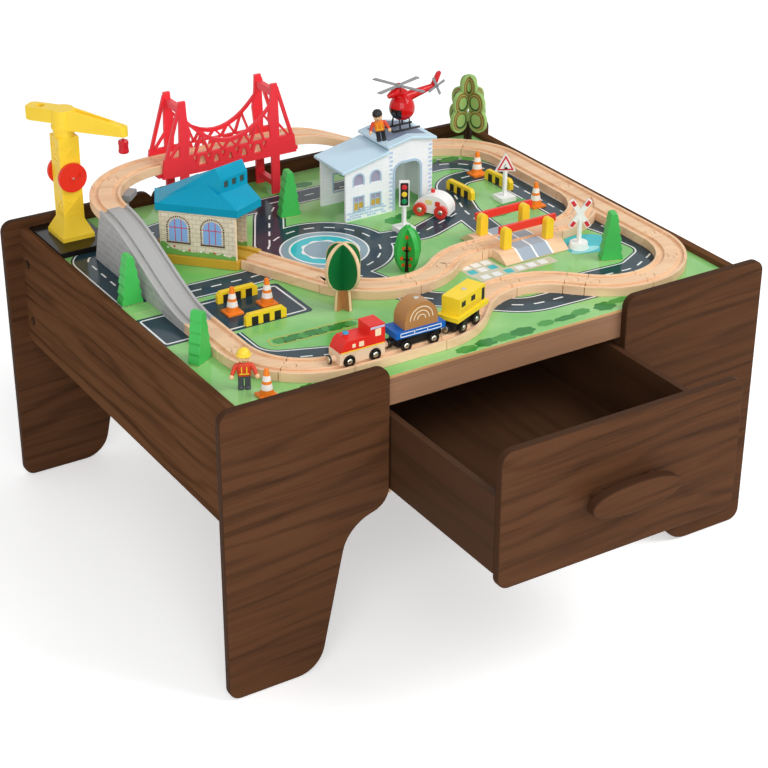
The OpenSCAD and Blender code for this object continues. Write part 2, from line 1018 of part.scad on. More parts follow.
module main_rotor() {
    color("#8d8f93")
        place(heli, 0, pad_z)
            translate([-3, 0, 53.6])
                difference() {
                    union() {
                        cylinder(r = 4, h = 4);
                        for (a = [20:90:290])
                            rotate([0, 0, a])
                                translate([2, -3, 1.2])
                                    cube([36, 6, 1.4]);
                    }
                    translate([0, 0, -1])
                        cylinder(r = 1.6 + play, h = 8);
                }
}

module tail_rotor() {
    color("#8d8f93")
        place(heli, 0, pad_z)
            translate([tail[0], -3.2, tail[1]])
                rotate([90, 0, 0])
                    difference() {
                        union() {
                            cylinder(r = 2.6, h = 2.4);
                            for (a = [25:90:295])
                                rotate([0, 0, a])
                                    translate([1, -1.6, 0.6])
                                        cube([11, 3.2, 1.2]);
                        }
                        translate([0, 0, -1])
                            cylinder(r = 1.2 + play, h = 5);
                    }
}

// Train
axle_z = track_t - groove_d + wheel_r + 0.3;
half_axle = gauge + wheel_w / 2;
train_y = low_y;
curve_x = left_x + curve_r + run_l;
loco = [curve_x - 100.3, train_y];
flatcar = [curve_x - 29.8, train_y];
coach_turn = 24;
loco_base = 15.5;
car_base = 17;
coach_base = 13;
coach_mid = step([curve_x, low_y, 0], ["a", curve_r, coach_turn]);
coach_in = coach_base * coach_base / curve_r / 2;
coach = [coach_mid[0] - coach_in * sin(coach_turn), coach_mid[1] + coach_in * cos(coach_turn)];

module axle_bores(base) {
    for (x = [-base, base])
        translate([x, 0, axle_z])
            rotate([90, 0, 0])
                cylinder(r = axle_r + play, h = 60, center = true);
}

module wheel_wells(base) {
    for (x = [-base, base], s = [-1, 1])
        translate([x, s * (half_axle + 8), axle_z])
            rotate([90, 0, 0])
                cylinder(r = wheel_r + 0.8, h = 2 * (wheel_w + 8.6), center = true);
}

module magnet(x, l) {
    translate([x, 0, axle_z + 2])
        rotate([0, 90, 0])
            cylinder(r = 3.6, h = l);
}

module loco_body() {
    z = track_t;
    color("#d8261f")
        place(loco) {
            difference() {
                union() {
                    translate([0, -11.5, 0])
                        upright(23)
                            polygon([[-26.5, z + 1], [27.5, z + 1], [27.5, z + 37], [9, z + 37], [9, z + 27],
                                [-17, z + 27], [-22, z + 23], [-26.5, z + 13]]);
                    magnet(26, 12);
                    magnet(-34, 8);
                    translate([-13, 0, z + 26])
                        cylinder(r = 2.6, h = 4);
                }
                axle_bores(loco_base);
                wheel_wells(loco_base);
            }
        }
}

module axle_at(p, turn, x, r = wheel_r) {
    place(p, turn)
        translate([x, 0, axle_z])
            wheel_pair(wheel_w, half_axle, r, 3);
}

module loco_axle_front() {
    color("#25221f")
        axle_at(loco, 0, -loco_base);
}

module loco_axle_rear() {
    color("#25221f")
        axle_at(loco, 0, loco_base);
}

module chassis(base, l) {
    difference() {
        union() {
            translate([-l / 2, -8.4, track_t + 2])
                cube([l, 16.8, 12]);
            magnet(-l / 2 - 6, 7);
            magnet(l / 2 - 1, 7);
        }
        axle_bores(base);
    }
}

module flatcar_body() {
    z = track_t + 14;
    load_r = 20.5;
    color("#2458b0")
        place(flatcar) {
            chassis(car_base, 52);
            translate([-30.5, -13.5, z])
                cube([61, 27, 7]);
            translate([2, -11, z + 7])
                upright(22)
                    polygon(concat([[-load_r, 0], [load_r, 0]],
                        [for (i = [0:20]) load_r * [cos(i * 9), sin(i * 9)] + [0, 8]]));
        }
}

module flatcar_axle_front() {
    color("#25221f")
        axle_at(flatcar, 0, -car_base);
}

module flatcar_axle_rear() {
    color("#25221f")
        axle_at(flatcar, 0, car_base);
}

module coach_body() {
    z = track_t + 14;
    color("#e9c419")
        place(coach, coach_turn) {
            chassis(coach_base, 50);
            translate([-27, -13.5, z])
                cube([62, 27, 5]);
            difference() {
                translate([-20, -11.5, z + 4.9])
                    cube([51, 23, 19.5]);
                translate([30, -13, z + 8])
                    cube([4, 26, 12]);
            }
        }
}

module coach_axle_front() {
    color("#25221f")
        axle_at(coach, coach_turn, -coach_base);
}

module coach_axle_rear() {
    color("#25221f")
        axle_at(coach, coach_turn, coach_base);
}

// Ambulance
ambulance = spot(0.698, 0.618);
amb_turn = 125.5;
amb_base = 13.5;
amb_r = 8.2;

module ambulance_body() {
    color("#f4f4f2")
        place(ambulance, amb_turn) {
            difference() {
                translate([0, -11, 0])
                    upright(22)
                        polygon(concat([[-23, 4], [23, 4]], [for (i = [1:23]) let(a = i * 7.5)
                            [23 * cos(a) - 1.5 * sin(a), 8 + 19 * sin(a)]]));
                for (x = [-amb_base, amb_base])
                    translate([x, 0, amb_r + 0.3])
                        rotate([90, 0, 0])
                            cylinder(r = axle_r + play, h = 40, center = true);
            }
            translate([2, 0, 25])
                cylinder(r = 2.6, h = 6.5);
        }
}

module amb_axle(x) {
    place(ambulance, amb_turn)
        translate([x, 0, amb_r + 0.3])
            wheel_pair(4.4, 15.8, amb_r, 3);
}

module ambulance_axle_front() {
    color("#d92b22")
        amb_axle(-amb_base);
}

module ambulance_axle_rear() {
    color("#d92b22")
        amb_axle(amb_base);
}

// Figures and scenery
module figure(h, brim) {
    k = h / 46;
    scale(k) {
        for (s = [-1, 1]) {
            translate([s * 3.6 - 3, -3.5, 0])
                cube([6, 7, 15]);
            translate([s * 7, 0, 27])
                rotate([-25, -s * 28, 0])
                    translate([0, 0, -13])
                        cylinder(r = 2.2, h = 14);
            translate([s * 13, -5.6, 15.5])
                sphere(r = 2.6, $fn = 20);
        }
        translate([-7, -4, 14.9])
            cube([14, 8, 14]);
        translate([0, 0, 28])
            cylinder(r = 2.6, h = 4);
        translate([0, 0, 36])
            sphere(r = 6, $fn = 28);
        translate([0, 0, 38])
            cylinder(r = 6.6 + brim, h = 1.6);
        translate([0, 0, 38])
            sphere(r = 6.6, $fn = 28);
    }
}

module figures() {
    pilot_x = hw + 1.2;
    pilot_z = board_z + block_eave + roof_t + (pilot_x - hw) * block_rise + 0.05;
    color("#d0501f") {
        place(spot(0.049, 0.102), -25)
            figure(46, 1.4);
        place([hospital[0] + pilot_x, hospital[1] + 18], 0, pilot_z)
            rotate([0, -atan(block_rise), 0])
                rotate([0, 0, -30])
                    figure(41, 0.2);
    }
}

module crossed(t) {
    for (a = [45, 135])
        rotate([0, 0, a])
            translate([0, -t / 2, 0])
                upright(t)
                    children();
}

module oval(x, z, w, h) {
    for (s = [-1, 1])
        translate([x, z + s * (h - w) / 2])
            circle(r = w / 2);
    translate([x - w / 2, z - (h - w) / 2])
        square([w, h - w]);
}

module pine() {
    side = [[12.5, 0], [12.8, 3], [10.2, 10], [11.6, 13], [8.8, 22], [10, 25], [7, 34], [8, 37], [5, 46],
        [5.8, 48], [3.6, 57], [2.2, 58]];
    translate([0, -6.5, 0])
        upright(13)
            polygon(concat(side, [for (i = [len(side) - 1:-1:0]) [-side[i][0], side[i][1]]]));
}

module tall_tree() {
    translate([-5, 0])
        square([10, 40]);
    for (s = [-1, 1]) {
        oval(s * 17, 34, 30, 32);
        oval(s * 14, 57, 28, 31);
    }
    oval(0, 77, 27, 31);
}

module round_tree() {
    polygon([[-12, 0], [12, 0], [9.5, 26], [-9.5, 26]]);
    oval(0, 50, 50, 56);
}

module fruit_tree() {
    translate([-7, 0])
        square([14, 10]);
    intersection() {
        translate([-17, 26])
            circle(r = 34);
        translate([17, 26])
            circle(r = 34);
        translate([-20, 4])
            square([40, 60]);
    }
    intersection() {
        translate([0, 26])
            circle(r = 18);
        translate([-17, 5])
            square([34, 42]);
    }
}

module trees() {
    color("#2f8f3f") {
        for (p = [[0.030, 0.552, 0], [0.032, 0.245, 31], [0.456, 0.781, -8], [0.856, 0.211, -22]])
            place(spot(p[0], p[1]), p[2])
                pine();
        place(spot(0.969, 0.955), -32)
            crossed(4)
                tall_tree();
        place(spot(0.334, 0.302), -32)
            crossed(4)
                round_tree();
        place(spot(0.513, 0.390), -39)
            crossed(6)
                fruit_tree();
    }
}

module cones() {
    foot = 19;
    color("#ee7a1c")
        for (p = [[0.066, 0.051], [0.162, 0.400], [0.230, 0.400], [0.881, 0.762], [0.885, 0.533]])
            place(spot(p[0], p[1])) {
                translate([-foot / 2, -foot / 2, 0])
                    cube([foot, foot, 2.6]);
                translate([0, 0, 2.5])
                    cylinder(r1 = 7.4, r2 = 2.3, h = 28.6);
            }
}

module barriers() {
    h = 14;
    color("#efc31c")
        for (p = [[0.195, 0.455, 0], [0.195, 0.333, 0], [0.794, 0.680, 95], [0.888, 0.684, 95]])
            place(spot(p[0], p[1]), p[2])
                translate([0, -3, 0])
                    difference() {
                        upright(6)
                            polygon([[-25, 0], [25, 0], [25, h - 4], [21, h], [-21, h], [-25, h - 4]]);
                        for (k = [-1:1], y = [-1, 5.2])
                            translate([14 * k - 4, y, -1])
                                cube([8, 1.8, h - 3]);
                    }
}

light_at = spot(0.603, 0.570);
works_at = spot(0.852, 0.601);
cross_at = [right_x - curve_r - cross_l + 108.3, branch_y - 46.3];
sign_turn = -28;

module signs() {
    foot = 21;
    color("#f2f2f0") {
        for (p = [light_at, works_at])
            place(p)
                translate([-foot / 2, -foot / 2, 0])
                    cube([foot, foot, 6]);
        place(cross_at)
            cylinder(r1 = 12, r2 = 10.5, h = 7);
        for (p = [light_at, works_at, cross_at])
            place(p)
                translate([-2, -2, 5.9])
                    cube([4, 4, 32.2]);
        place(light_at, sign_turn)
            translate([-6, -2.5, 32])
                cube([12, 5, 32]);
        place(works_at, sign_turn)
            translate([0, -1.5, 38])
                upright(3)
                    polygon([[-13, 0], [13, 0], [0, 24]]);
        place(cross_at, sign_turn)
            translate([0, -1.5, 43])
                upright(3)
                    for (a = [-57, 57])
                        rotate(a)
                            translate([-20, -3])
                                square([40, 6]);
    }
}

module in_frame() {
    translate([-mid[0], -mid[1], 0])
        children();
}

in_frame() {
    leg_front_left();
    leg_front_right();
    leg_back_left();
    leg_back_right();
    back_panel();
    side_rail_left();
    side_rail_right();
    front_rail();
    board_front();
    board_back();
    partitions();
    battens();
    rail_bolts();
    drawer_front();
    drawer_sides();
    drawer_back();
    drawer_bottom();
    drawer_handle();
    handle_posts();
    track_straights();
    track_curves();
    track_switch();
    track_down();
    ramp();
    curve_pier();
    bridge();
    crossing_block();
    crossing_posts();
    gate_near();
    gate_far();
    crane_platform();
    crane_tower();
    crane_jib();
    crane_winch();
    crane_hook();
    station_base();
    station_walls();
    station_roof();
    hospital_walls();
    hospital_roofs();
    helicopter_body();
    main_rotor();
    tail_rotor();
    loco_body();
    loco_axle_front();
    loco_axle_rear();
    flatcar_body();
    flatcar_axle_front();
    flatcar_axle_rear();
    coach_body();
    coach_axle_front();
    coach_axle_rear();
    ambulance_body();
    ambulance_axle_front();
    ambulance_axle_rear();
    figures();
    trees();
    cones();
    barriers();
    signs();
}
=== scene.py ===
"""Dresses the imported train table: walnut panels, a printed play board, beech track and painted toys."""
import json
import math
from types import SimpleNamespace

import bmesh
import bpy
import numpy as np
from mathutils import Matrix, Vector


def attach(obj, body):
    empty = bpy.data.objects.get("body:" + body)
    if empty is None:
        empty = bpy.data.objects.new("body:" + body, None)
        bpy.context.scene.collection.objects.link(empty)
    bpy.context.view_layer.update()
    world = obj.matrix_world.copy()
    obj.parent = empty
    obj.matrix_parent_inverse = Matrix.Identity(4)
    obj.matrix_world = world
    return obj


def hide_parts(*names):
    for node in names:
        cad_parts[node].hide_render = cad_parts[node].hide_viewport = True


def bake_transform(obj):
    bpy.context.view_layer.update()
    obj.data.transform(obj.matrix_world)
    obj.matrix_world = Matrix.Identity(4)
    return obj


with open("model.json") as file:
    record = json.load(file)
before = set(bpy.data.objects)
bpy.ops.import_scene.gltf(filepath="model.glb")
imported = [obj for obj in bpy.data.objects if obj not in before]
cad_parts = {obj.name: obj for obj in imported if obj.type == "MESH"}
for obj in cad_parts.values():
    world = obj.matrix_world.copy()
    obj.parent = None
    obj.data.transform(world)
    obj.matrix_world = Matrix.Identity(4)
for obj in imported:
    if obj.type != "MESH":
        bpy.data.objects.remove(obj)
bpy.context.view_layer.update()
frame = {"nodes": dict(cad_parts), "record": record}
record = frame["record"]
BODY = {n: b for b, nodes in record["behaviour"]["bodies"].items() for n in nodes}

# Sizes of the table in mm: x from the left legs, y from the front legs' face, z from the floor
MID = np.array([350.0, 169.25, 0.0])
BOARD_Z, TRACK_Z = 328.0, 339.0


def spot(u, v):
    """A place on the board, as shares of its length and depth."""
    return np.array([32 + u * 636, 10 + v * 538])


def srgb(r, g, b):
    """A colour written as 0 to 255 becomes linear."""
    c = np.array([r, g, b]) / 255.0
    return tuple(np.where(c <= 0.04045, c / 12.92, ((c + 0.055) / 1.055) ** 2.4).tolist()) + (1.0,)


# Shader helpers
def add(tree, kind, inputs=None, **props):
    """One shader node with its properties and plain input values; a socket as a value is linked."""
    n = tree.nodes.new("ShaderNode" + kind)
    for k, v in props.items():
        setattr(n, k, v)
    for k, v in (inputs or {}).items():
        if isinstance(v, bpy.types.NodeSocket):
            tree.links.new(v, n.inputs[k])
        else:
            n.inputs[k].default_value = v
    return n


def maths(tree, op, a, b=0.5, c=0.5, clamp=False):
    return add(tree, "Math", {0: a, 1: b, 2: c}, operation=op, use_clamp=clamp).outputs[0]


def mix_colour(tree, fac, a, b):
    return add(tree, "Mix", {0: fac, 6: a, 7: b}, data_type="RGBA").outputs[2]


def xyz(tree, vector):
    return add(tree, "SeparateXYZ", {0: vector}).outputs


def mapped(tree, vector, scale=(1, 1, 1), turn=(0, 0, 0)):
    return add(tree, "Mapping", {"Vector": vector, "Scale": scale, "Rotation": turn}).outputs[0]


def noise(tree, vector, scale, detail, rough=0.5):
    n = add(tree, "TexNoise", {"Vector": vector, "Scale": scale, "Detail": detail, "Roughness": rough})
    return n.outputs[0]


def group(name, ins, outs):
    """An empty node group with named sockets, given as (kind, name, value)."""
    g = bpy.data.node_groups.new(name, "ShaderNodeTree")
    for kind, label, value in ins:
        s = g.interface.new_socket(label, in_out="INPUT", socket_type=kind)
        if value is not None:
            s.default_value = value
    for kind, label in outs:
        g.interface.new_socket(label, in_out="OUTPUT", socket_type=kind)
    return g, g.nodes.new("NodeGroupInput").outputs, g.nodes.new("NodeGroupOutput").inputs


VEC, COL, VAL = "NodeSocketVector", "NodeSocketColor", "NodeSocketFloat"


def make_grain_group():
    """Wood figure: long bands bent by noise, with clouds and fine fibres along x of the given vector."""
    ins = [(VEC, "Vector", None), (COL, "Light", (1, 1, 1, 1)), (COL, "Dark", (0, 0, 0, 1)),
           (VAL, "Bands", 8.0), (VAL, "Bend", 3.0), (VAL, "Streak", 0.5), (VAL, "Cloud", 1.0)]
    g, i, o = group("wood_grain", ins, [(COL, "Color"), (VAL, "Height")])
    v = i["Vector"]
    slow = noise(g, mapped(g, v, (3.0, 7.0, 7.0)), 1.0, 2.0)
    fibre = noise(g, mapped(g, v, (12.0, 150.0, 150.0)), 1.0, 4.0, 0.6)
    cloud = noise(g, mapped(g, v, (6.0, 30.0, 30.0)), 1.0, 3.0)
    axis = xyz(g, v)
    straight = maths(g, "MULTIPLY", maths(g, "ADD", axis[1], axis[2]), i["Bands"])
    wave = maths(g, "SINE", maths(g, "MULTIPLY", maths(g, "MULTIPLY_ADD", slow, i["Bend"], straight), 6.2832))
    band = maths(g, "POWER", maths(g, "MULTIPLY_ADD", wave, 0.5, 0.5), 3.0)
    m = maths(g, "MULTIPLY", band, i["Streak"])
    m = maths(g, "MULTIPLY_ADD", maths(g, "SUBTRACT", fibre, 0.5), 0.9, m)
    m = maths(g, "MULTIPLY_ADD", maths(g, "SUBTRACT", cloud, 0.42), i["Cloud"], m, clamp=True)
    g.links.new(mix_colour(g, m, i["Light"], i["Dark"]), o["Color"])
    g.links.new(maths(g, "SUBTRACT", 1.0, m), o["Height"])
    return g


def make_paint_group():
    """Brushed or moulded paint: slow drift in brightness and a fine orange-peel height."""
    g, i, o = group("paint_skin", [(VEC, "Vector", None), (COL, "Color", (1, 1, 1, 1)), (VAL, "Drift", 0.12)],
                    [(COL, "Color"), (VAL, "Height"), (VAL, "Mask")])
    slow = noise(g, i["Vector"], 45.0, 3.0)
    off = maths(g, "MULTIPLY", maths(g, "SUBTRACT", slow, 0.5), i["Drift"])
    hsv = add(g, "HueSaturation", {"Color": i["Color"], "Value": maths(g, "ADD", off, 1.0)})
    g.links.new(hsv.outputs[0], o["Color"])
    g.links.new(noise(g, i["Vector"], 900.0, 2.0), o["Height"])
    g.links.new(slow, o["Mask"])
    return g


GRAIN, PAINT = make_grain_group(), make_paint_group()


def material(name, shine=0.5):
    """A material with its tree, shader and coordinates; shine is the specular level."""
    m = bpy.data.materials.new(name)
    m.use_nodes = True
    t = m.node_tree
    s = t.nodes["Principled BSDF"]
    s.inputs["Specular IOR Level"].default_value = shine
    return m, t, s, add(t, "TexCoord").outputs


def bump(t, shader, height, strength, distance):
    b = add(t, "Bump", {"Height": height, "Strength": strength, "Distance": distance})
    t.links.new(b.outputs[0], shader.inputs["Normal"])


def facing(t, normal, axis):
    """How far a face looks along an axis, either way."""
    return maths(t, "ABSOLUTE", xyz(t, normal)[axis])


def wood(name, light, dark, turn, bands, bend, streak, rough=0.5, edge=None, fine=1.0, cloud=1.0, shine=0.5):
    """Wood with its figure along x after the turn, fine times closer across it.

    edge is the colour of faces that don't face along y."""
    m, t, s, co = material(name, shine)
    close = mapped(t, mapped(t, co["Object"], turn=turn), (1.0, fine, fine))
    g = add(t, "Group", {"Vector": close, "Light": srgb(*light), "Dark": srgb(*dark), "Bands": bands,
                         "Bend": bend, "Streak": streak, "Cloud": cloud}, node_tree=GRAIN)
    colour = g.outputs["Color"]
    if edge:
        colour = mix_colour(t, maths(t, "GREATER_THAN", facing(t, co["Normal"], 1), 0.8), srgb(*edge), colour)
    t.links.new(colour, s.inputs["Base Color"])
    t.links.new(maths(t, "MULTIPLY_ADD", g.outputs["Height"], 0.12, rough), s.inputs["Roughness"])
    bump(t, s, g.outputs["Height"], 0.12, 0.0004)
    return m


def paint(name, colour, rough=0.35, drift=0.12, coat=0.0, peel=0.06, shine=0.3, bands=()):
    """One paint or plastic colour with drift and peel.

    bands are (height in mm, colour) for what lies above that height, from low to high."""
    m, t, s, co = material(name, shine)
    shade = srgb(*colour)
    for z, c in bands:
        shade = mix_colour(t, maths(t, "GREATER_THAN", xyz(t, co["Object"])[2], z / 1000), shade, srgb(*c))
    g = add(t, "Group", {"Vector": co["Object"], "Color": shade, "Drift": drift}, node_tree=PAINT)
    t.links.new(g.outputs["Color"], s.inputs["Base Color"])
    t.links.new(maths(t, "MULTIPLY_ADD", g.outputs["Mask"], 0.12, rough - 0.06), s.inputs["Roughness"])
    s.inputs["Coat Weight"].default_value = coat
    bump(t, s, g.outputs["Height"], peel, 0.0003)
    return m


def bricks(name, stone, joint, turn, size, low=None, relief=0.5, depth=0.0004, side_only=False, ends=None):
    """Courses of stone in the wall's plane, worked out from Object coordinates turned by turn degrees.

    size is a stone's length, height and joint; low is (height in mm, colour) for a painted strip along the
    foot; side_only keeps the top faces plain; ends is the colour of the bare faces at the wall's two ends."""
    m, t, s, co = material(name, 0.25)
    about = (0, 0, math.radians(turn))
    p = xyz(t, mapped(t, co["Object"], turn=about))
    face = add(t, "CombineXYZ", {0: p[0], 1: p[2]}).outputs[0]
    long, high, gap = np.array(size) / 1000
    b = add(t, "TexBrick", {"Vector": face, "Color1": srgb(*stone[0]), "Color2": srgb(*stone[1]), "Bias": 0.0,
                            "Mortar": srgb(*joint), "Mortar Size": gap, "Mortar Smooth": 0.3, "Scale": 1.0,
                            "Brick Width": long, "Row Height": high})
    g = add(t, "Group", {"Vector": co["Object"], "Color": b.outputs["Color"], "Drift": 0.14}, node_tree=PAINT)
    colour, height = g.outputs["Color"], maths(t, "SUBTRACT", 1.0, b.outputs["Fac"])
    if low:
        edge = maths(t, "MULTIPLY_ADD", noise(t, face, 90.0, 2.0), 0.012, (low[0] - 6) / 1000)
        colour = mix_colour(t, maths(t, "LESS_THAN", p[2], edge), colour, srgb(*low[1]))
    if side_only:
        side = maths(t, "LESS_THAN", facing(t, co["Normal"], 2), 0.3)
        colour = mix_colour(t, side, srgb(*stone[0]), colour)
        height = maths(t, "MULTIPLY", height, side)
    if ends:
        along = facing(t, mapped(t, co["Normal"], turn=about), 0)
        colour = mix_colour(t, maths(t, "GREATER_THAN", along, 0.8), colour, srgb(*ends))
    t.links.new(colour, s.inputs["Base Color"])
    s.inputs["Roughness"].default_value = 0.6
    bump(t, s, height, relief, depth)
    return m


def metal(name, colour, rough):
    m, t, s, co = material(name)
    worn = maths(t, "MULTIPLY_ADD", noise(t, co["Object"], 300.0, 3.0), 0.15, rough)
    t.links.new(worn, s.inputs["Roughness"])
    s.inputs["Base Color"].default_value = srgb(*colour)
    s.inputs["Metallic"].default_value = 1.0
    return m


# Finishes
LEAN, QUARTER = math.radians(2), math.radians(90)
BEECH = (241, 203, 165), (214, 164, 120)
walnut = wood("walnut_foil", (89, 57, 36), (32, 18, 9), (0, LEAN, 0), 14, 4, 0.3, edge=(66, 42, 27), fine=3.0,
              cloud=0.9, shine=0.06)
# The side rails' walnut foil with its grain along y, painted lighter than the legs' foil to stand in for
# light on the side faces
walnut_side_painted_lighter = wood("walnut_foil_along_painted_lighter", (108, 73, 49), (40, 24, 14), (LEAN, 0, QUARTER), 14, 4, 0.34, 0.6,
                   fine=3.0, shine=0.0)
walnut_inside = wood("drawer_foil", (74, 48, 31), (50, 32, 20), (0, 0, QUARTER), 9, 3, 0.3, fine=3.0,
                     shine=0.1)
rail_foil = wood("rail_foil", (158, 118, 90), (134, 98, 72), (0, 0, 0), 8, 2, 0.2, fine=2.5, cloud=0.6,
                 shine=0.12)
beech = wood("beech", *BEECH, (0, 0, math.radians(17)), 22, 5, 0.28, 0.42, fine=1.4, cloud=0.9, shine=0.4)
beech_x = wood("beech_along", *BEECH, (0, 0, 0), 26, 4, 0.3, 0.42, fine=1.4, cloud=0.9, shine=0.4)
batten_wood = wood("bare_batten", (214, 178, 128), (186, 145, 95), (0, 0, QUARTER), 18, 4, 0.4, 0.6)
tree_ply = wood("tree_ply", (236, 206, 164), (206, 166, 120), (0, QUARTER, 0), 40, 2, 0.5, 0.55)
trunk_wood = wood("trunk_wood", (190, 130, 78), (152, 100, 58), (0, QUARTER, 0), 30, 3, 0.4, 0.5)
steel = metal("hub_steel", (205, 200, 186), 0.22)

# Paints: colour, roughness, drift, then coat, peel and shine where they differ from the usual
INK = (0.0, 0.03, 0.2)
P = SimpleNamespace(**{name: paint(name, *row) for name, row in {
    "bolt_black": ((22, 17, 14), 0.5, 0.2, 0.0, 0.06, 0.1),
    "white_plastic": ((244, 244, 242), 0.35, 0.05),
    "bridge_red": ((242, 54, 66), 0.36, 0.1),
    "crane_yellow": ((252, 213, 58), 0.38, 0.08),
    "crane_black": ((24, 21, 19), 0.14, 0.2, 0.0, 0.04, 0.22),
    "winch_red": ((228, 48, 30), 0.32, 0.1),
    "weight_red": ((204, 26, 40), 0.3, 0.1),
    "post_yellow": ((247, 206, 48), 0.34, 0.1),
    "gate_red": ((232, 56, 44), 0.34, 0.1),
    "pier_grey": ((150, 152, 156), 0.4, 0.15),
    "ochre": ((206, 162, 52), 0.4, 0.12),
    "roof_teal": ((2, 150, 184), 0.36, 0.12, 0.0, 0.06, 0.18),
    "roof_blue": ((200, 228, 244), 0.4, 0.06),
    "pad_grey": ((122, 136, 160), 0.45, 0.12),
    "heli_red": ((208, 8, 16), 0.16, 0.06, 0.2, 0.06, 0.2),
    "rotor_grey": ((142, 143, 146), 0.42, 0.1),
    "glass_black": ((20, 20, 24), 0.08, 0.1, 0.6),
    "tyre_black": ((28, 26, 25), 0.3, 0.15),
    "wheel_red": ((222, 52, 42), 0.25, 0.08, 0.4),
    "pine_green": ((70, 186, 88), 0.42, 0.2),
    "leaf_green": ((14, 106, 52), 0.42, 0.14),
    "apple_green": ((52, 172, 72), 0.36, 0.2),
    "lobe_light": ((150, 186, 108), 0.45, 0.15),
    "lobe_dark": ((22, 78, 42), 0.45, 0.15),
    "lobe_line": ((146, 104, 50), 0.45, 0.15),
    "bark": ((52, 34, 22), 0.5, 0.2),
    "fruit": ((218, 92, 32), 0.4, 0.15),
    "barrier_yellow": ((244, 206, 40), 0.4, 0.1),
    "black": ((40, 36, 32), 0.45, 0.15),
    "sign_red": ((214, 52, 60), 0.4, 0.08),
    "amber": ((246, 206, 60), 0.3, 0.06),
    "lamp_green": ((28, 140, 88), 0.3, 0.06),
    "skin": ((240, 196, 150), 0.4, 0.06),
    "jacket": ((214, 66, 36), 0.4, 0.12),
    "vest": ((240, 128, 32), 0.4, 0.12),
    "trousers": ((74, 76, 84), 0.45, 0.15),
    "helmet": ((246, 208, 60), 0.25, 0.06),
    "cap_black": ((34, 32, 34), 0.4, 0.15),
    "pane_blue": ((140, 182, 236), 0.2, 0.14),
    "pane_amber": ((206, 170, 72), 0.3, 0.2),
    "pane_lilac": ((164, 158, 184), 0.3, 0.2),
    "pane_cream": ((250, 222, 186), 0.3, 0.1),
    "pane_straw": ((236, 222, 150), 0.25, 0.1),
    "band_grey": ((186, 192, 214), 0.3, 0.06),
    "button_blue": ((60, 150, 200), 0.25, 0.06),
    "brick_blue": ((186, 206, 234), 0.45, 0.1),
    "grass": ((118, 172, 84), 0.45, 0.25),
    "vent_dark": ((70, 74, 66), 0.4, 0.25),
    "ring_cream": ((232, 214, 184), 0.5, 0.1),
    "frame_brown": ((92, 74, 66), 0.5, 0.1),
    "trim_blue": ((176, 200, 220), 0.45, 0.08),
    "road_grey": ((160, 174, 188), 0.45, 0.08),
    "line_white": ((248, 248, 246), 0.4, 0.03),
    "print_road": ((40, 63, 74), 0.14, 0.3, *INK),
    "print_rim": ((30, 49, 58), 0.14, 0.2, *INK),
    "print_white": ((240, 243, 241), 0.2, 0.03),
    "print_plaza": ((142, 166, 178), 0.14, 0.2, *INK),
    "print_water": ((56, 190, 200), 0.14, 0.2, *INK),
    "print_shine": ((150, 224, 226), 0.2, 0.1),
    "print_shade": ((68, 152, 64), 0.16, 0.3, *INK),
    "print_leaf": ((42, 128, 50), 0.16, 0.3, *INK),
    "print_paving": ((206, 204, 178), 0.18, 0.2),
    "print_straw": ((190, 186, 74), 0.18, 0.2),
}.items()})


# Shapes as arrays: every maker returns (vertices in table mm, faces)
def rot(turn=0.0, tilt=0.0, roll=0.0):
    """Rotation matrix: roll about y, then tilt about x, then turn about z, in degrees."""
    z, x, y = (Matrix.Rotation(math.radians(a), 3, k) for a, k in ((turn, "Z"), (tilt, "X"), (roll, "Y")))
    return np.array(z @ x @ y)


def put(part, at=(0, 0, 0), turn=0.0, tilt=0.0, roll=0.0):
    """The part turned about its own origin and moved to at."""
    v, f = part
    return v @ rot(turn, tilt, roll).T + np.asarray(at, float), f


def on_board(part, at, turn=0.0):
    """The part turned and stood on the board at a plan place."""
    return put(part, (at[0], at[1], BOARD_Z), turn)


def stack(rows, closed=True, caps=True):
    """Rings of equal length joined by quads: rows is (m, n, 3); caps close both ends with one face each."""
    m, n = rows.shape[:2]
    i, j = np.meshgrid(np.arange(m - 1), np.arange(n if closed else n - 1), indexing="ij")
    k = (j + 1) % n
    quads = np.stack([i * n + j, i * n + k, (i + 1) * n + k, (i + 1) * n + j], -1).reshape(-1, 4).tolist()
    if caps:
        quads += [list(range(n))[::-1], list(range((m - 1) * n, m * n))]
    return rows.reshape(-1, 3), quads


def flat(outline, z, h):
    """A lying slab: the plan outline raised from z by h."""
    o = np.asarray(outline, float)
    return stack(np.stack([np.c_[o, np.full(len(o), z)], np.c_[o, np.full(len(o), z + h)]]))


def standing(outline, y, t):
    """A standing slab: an outline in x and z, with thickness t along +y from y."""
    o = np.asarray(outline, float)
    near = np.c_[o[:, 0], np.full(len(o), y), o[:, 1]]
    return stack(np.stack([near, near + (0, t, 0)]))


def plate(corners, t):
    """A thin plate on four or more corners in space, thickened along their normal."""
    c = np.asarray(corners, float)
    n = np.cross(c[1] - c[0], c[2] - c[0])
    return stack(np.stack([c, c + n / np.linalg.norm(n) * t]))


def ellipse(a, b, n=40, at=(0, 0), start=0.0, power=1.0):
    """Closed outline: a cos t, b sin t, squared off for powers below 1."""
    t = np.linspace(0, 2 * np.pi, n, endpoint=False) + start
    c, s = np.cos(t), np.sin(t)
    return np.c_[a * np.sign(c) * np.abs(c) ** power, b * np.sign(s) * np.abs(s) ** power] + at


def box_line(w, h, r, at=(0, 0), n=5):
    """Rounded rectangle outline about at."""
    t = np.linspace(0, np.pi / 2, n)
    q = np.c_[np.cos(t), np.sin(t)] * r
    turn = [np.array(k) for k in ([[1, 0], [0, 1]], [[0, -1], [1, 0]], [[-1, 0], [0, -1]], [[0, 1], [-1, 0]])]
    mid = np.array([[1, 1], [-1, 1], [-1, -1], [1, -1]]) * (w / 2 - r, h / 2 - r)
    return np.concatenate([q @ k.T + c for k, c in zip(turn, mid)]) + at


